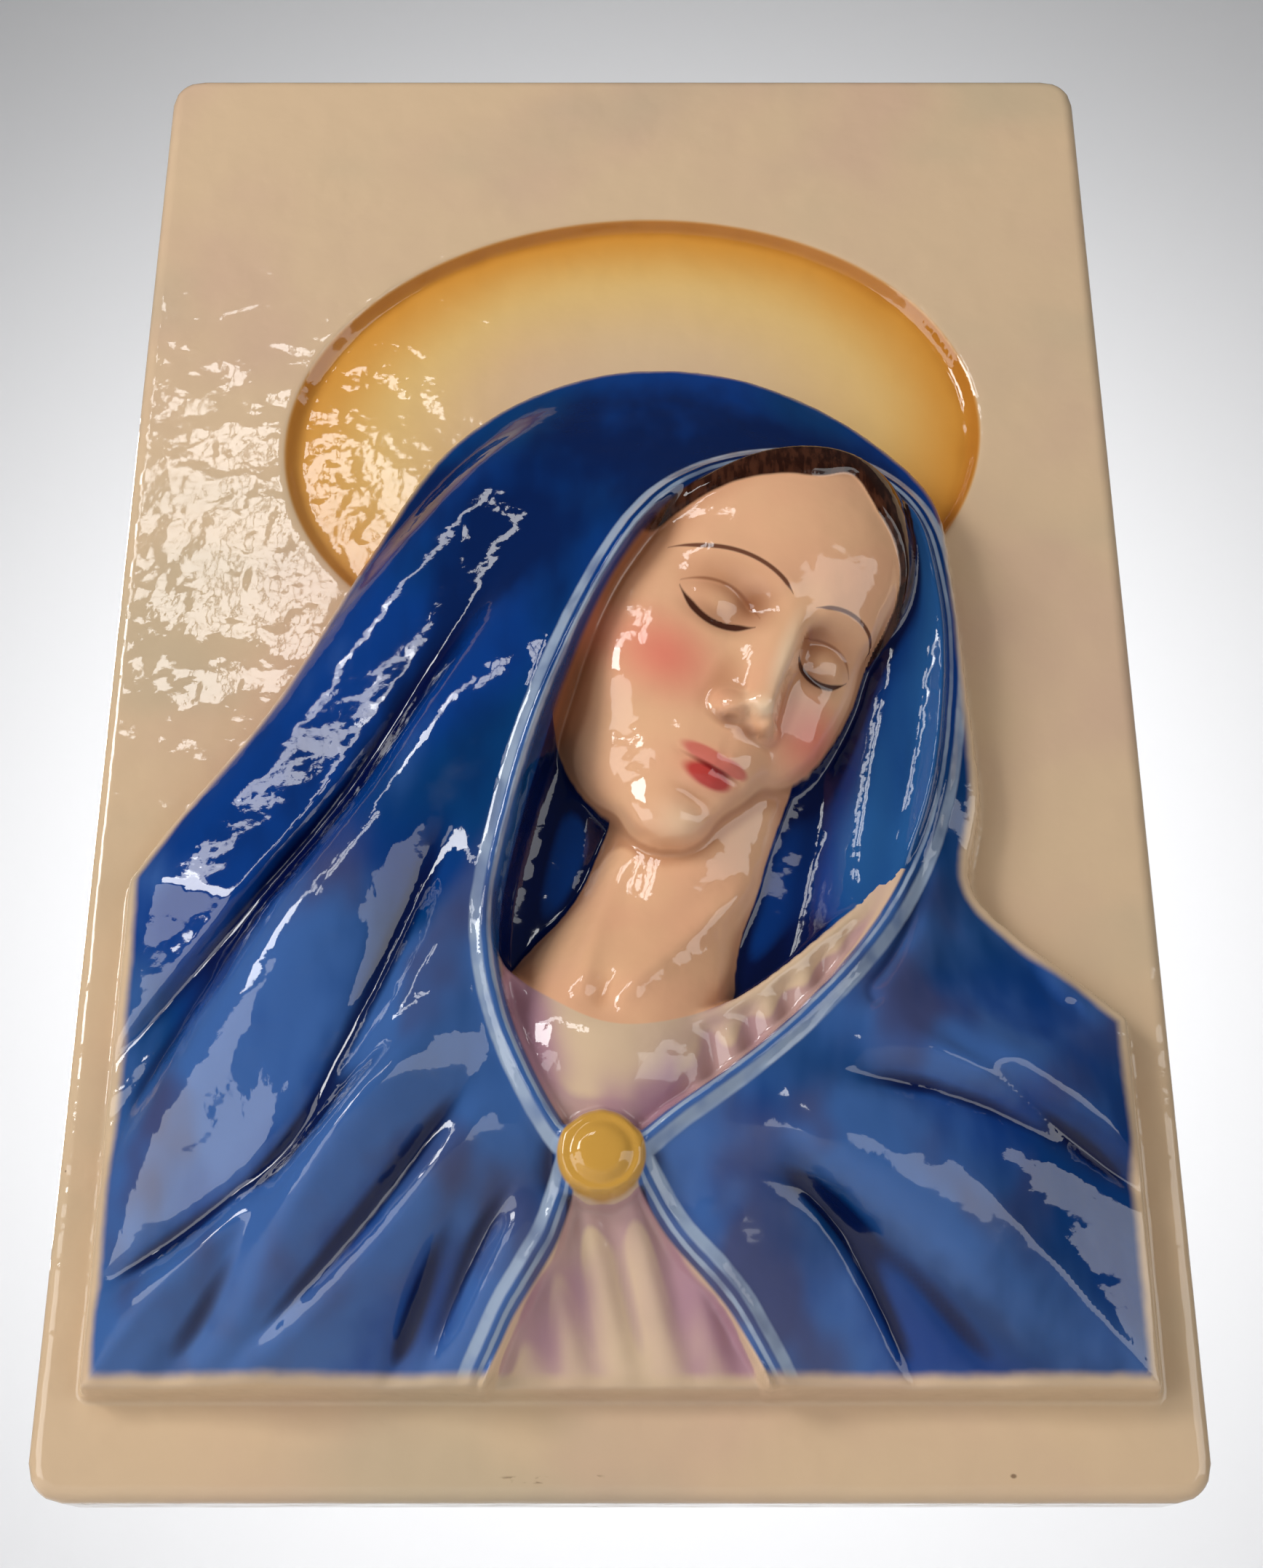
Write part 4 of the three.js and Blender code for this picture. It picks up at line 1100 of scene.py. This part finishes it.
class PLAQUE_OT_casting(bpy.types.Operator):
    """Model the slab, halo and figure as one casting, and paint and glaze it"""
    bl_idname = "plaque.casting"
    bl_label = "Glazed casting"

    def execute(self, context):
        colours = context.scene.plaque_colours
        piece = bpy.data.objects.new("plaque_glazed", casting_mesh(context.scene.plaque_form))
        context.scene.collection.objects.link(piece)
        specks, ripple = kiln_specks_group(), surface_ripple_group()
        piece.data.materials.append(glaze_material(colours, specks, ripple))
        piece.data.materials.append(clay_material(colours, specks, ripple))
        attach(piece, "root")
        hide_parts("plaque")
        return {"FINISHED"}


# The point on the front that the camera looks at, across and up from the slab's middle, in mm.
AIM_ACROSS, AIM_UP = 1.97, -20.35
STAGE_WIDTH, FLOOR_DROP, BACKDROP_BEHIND = 8.0, 0.35, 2.5
# Soft lights: place, width, share of the soft power. All but the last face the plaque.
SOFT_LIGHTS = {
    "key": ((-1.1, -1.0, 0.35), 0.45, 0.55),
    "soft_left": ((-1.4, -1.2, -0.5), 1.2, 0.85),
    "soft_right": ((2.2, -1.7, -0.9), 3.0, 3.9),
    "soft_low": ((0.4, -0.9, -1.7), 1.6, 6.6),
    "behind": ((-0.9, 1.3, 0.4), 0.8, 1.2),
    "on_backdrop": ((0.0, 1.0, 0.8), 1.6, 2.2),
}
# Lit windows that the glaze mirrors: middle, columns and rows of panes, a pane's width, and
# the power next to the near one's.
WINDOWS = {
    "window": ((-0.236, -0.847, 0.345), 2, 2, 0.07, 1.0),
    "far_window": ((-0.62, -0.85, 0.45), 4, 1, 0.10, 1.8),
}


class PLAQUE_OT_stage(bpy.types.Operator):
    """Set out the floor, the backdrop, the lights and the camera"""
    bl_idname = "plaque.stage"
    bl_label = "Stage"

    def execute(self, context):
        stage = context.scene.plaque_stage
        front = Vector((AIM_ACROSS, -SLAB_THICKNESS, MIDDLE_UP + AIM_UP)) / 1000
        pale = bpy.data.materials.new("pale_stage")
        pale.use_nodes = True
        shader = pale.node_tree.nodes["Principled BSDF"]
        shader.inputs["Base Color"].default_value = (0.75, 0.75, 0.76, 1)
        shader.inputs["Roughness"].default_value = 0.9
        stage_plane("floor", (0, 0, LOW[2] / 1000 - FLOOR_DROP), (0, 0, 0), pale)
        stage_plane("backdrop", (0, BACKDROP_BEHIND, 0), (math.pi / 2, 0, 0), pale)

        for name, (middle, columns, rows, pane, share) in WINDOWS.items():
            window(name, middle, columns, rows, pane, stage.window_power * share, front)
        for name, (place, width, share) in SOFT_LIGHTS.items():
            target = (0, BACKDROP_BEHIND, 0.9) if name == "on_backdrop" else front
            soft_light(name, place, target, width, stage.soft_power * share)
        world = bpy.data.worlds.new("studio")
        context.scene.world = world
        world.use_nodes = True
        world.node_tree.nodes["Background"].inputs[0].default_value = (0.85, 0.87, 0.9, 1)
        world.node_tree.nodes["Background"].inputs[1].default_value = 0.07

        camera = bpy.data.cameras.new("camera")
        camera.lens, camera.sensor_width = stage.lens, 36
        camera.clip_start = 0.02
        holder = bpy.data.objects.new("camera", camera)
        context.scene.collection.objects.link(holder)
        back_off = Vector((0, -math.cos(stage.tilt), -math.sin(stage.tilt))) * stage.distance
        holder.location = front + back_off
        holder.rotation_euler = (-back_off).to_track_quat("-Z", "Y").to_euler()
        context.scene.camera = holder
        context.scene.view_settings.view_transform = "Standard"
        return {"FINISHED"}


def stage_plane(name, place, turn, material):
    half = STAGE_WIDTH / 2
    corners = [(-half, -half, 0), (half, -half, 0), (half, half, 0), (-half, half, 0)]
    mesh = bpy.data.meshes.new(name)
    mesh.from_pydata(corners, [], [(0, 1, 2, 3)])
    mesh.materials.append(material)
    plane = bpy.data.objects.new(name, mesh)
    plane.location, plane.rotation_euler = place, turn
    bpy.context.scene.collection.objects.link(plane)


def soft_light(name, place, target, size, power):
    """A square lamp that faces a point and isn't seen itself."""
    light = bpy.data.lights.new(name, "AREA")
    light.size, light.energy = size, power
    holder = bpy.data.objects.new(name, light)
    holder.location = place
    holder.rotation_euler = (Vector(target) - Vector(place)).to_track_quat("-Z", "Y").to_euler()
    holder.visible_camera = False
    bpy.context.scene.collection.objects.link(holder)


def window(name, middle, columns, rows, pane, power, target):
    """A lit window of square panes, a quarter of a pane apart."""
    for i in range(columns):
        for j in range(rows):
            across = (i - (columns - 1) / 2) * 1.25 * pane
            up = (j - (rows - 1) / 2) * 1.25 * pane
            place = Vector(middle) + Vector((across, 0, up))
            soft_light(f"{name}_{i}{j}", place, target, pane, power / (columns * rows))


class PLAQUE_PT_panel(bpy.types.Panel):
    """Lists the settings and the steps that make the plaque"""
    bl_label = "Wall plaque"
    bl_idname = "PLAQUE_PT_panel"
    bl_space_type = "VIEW_3D"
    bl_region_type = "UI"
    bl_category = "Plaque"

    def draw(self, context):
        for group in (context.scene.plaque_form, context.scene.plaque_colours, context.scene.plaque_stage):
            for name in group.__annotations__:
                self.layout.prop(group, name)
        self.layout.operator(PLAQUE_OT_casting.bl_idname)
        self.layout.operator(PLAQUE_OT_stage.bl_idname)


CLASSES = (PlaqueForm, PlaqueColours, PlaqueStage, PLAQUE_OT_casting, PLAQUE_OT_stage, PLAQUE_PT_panel)


def register():
    for kind in CLASSES:
        bpy.utils.register_class(kind)
    bpy.types.Scene.plaque_form = bpy.props.PointerProperty(type=PlaqueForm)
    bpy.types.Scene.plaque_colours = bpy.props.PointerProperty(type=PlaqueColours)
    bpy.types.Scene.plaque_stage = bpy.props.PointerProperty(type=PlaqueStage)


def unregister():
    del bpy.types.Scene.plaque_stage, bpy.types.Scene.plaque_colours, bpy.types.Scene.plaque_form
    for kind in reversed(CLASSES):
        bpy.utils.unregister_class(kind)


def main():
    register()
    bpy.ops.plaque.casting()
    bpy.ops.plaque.stage()


if __name__ == "__main__":
    main()
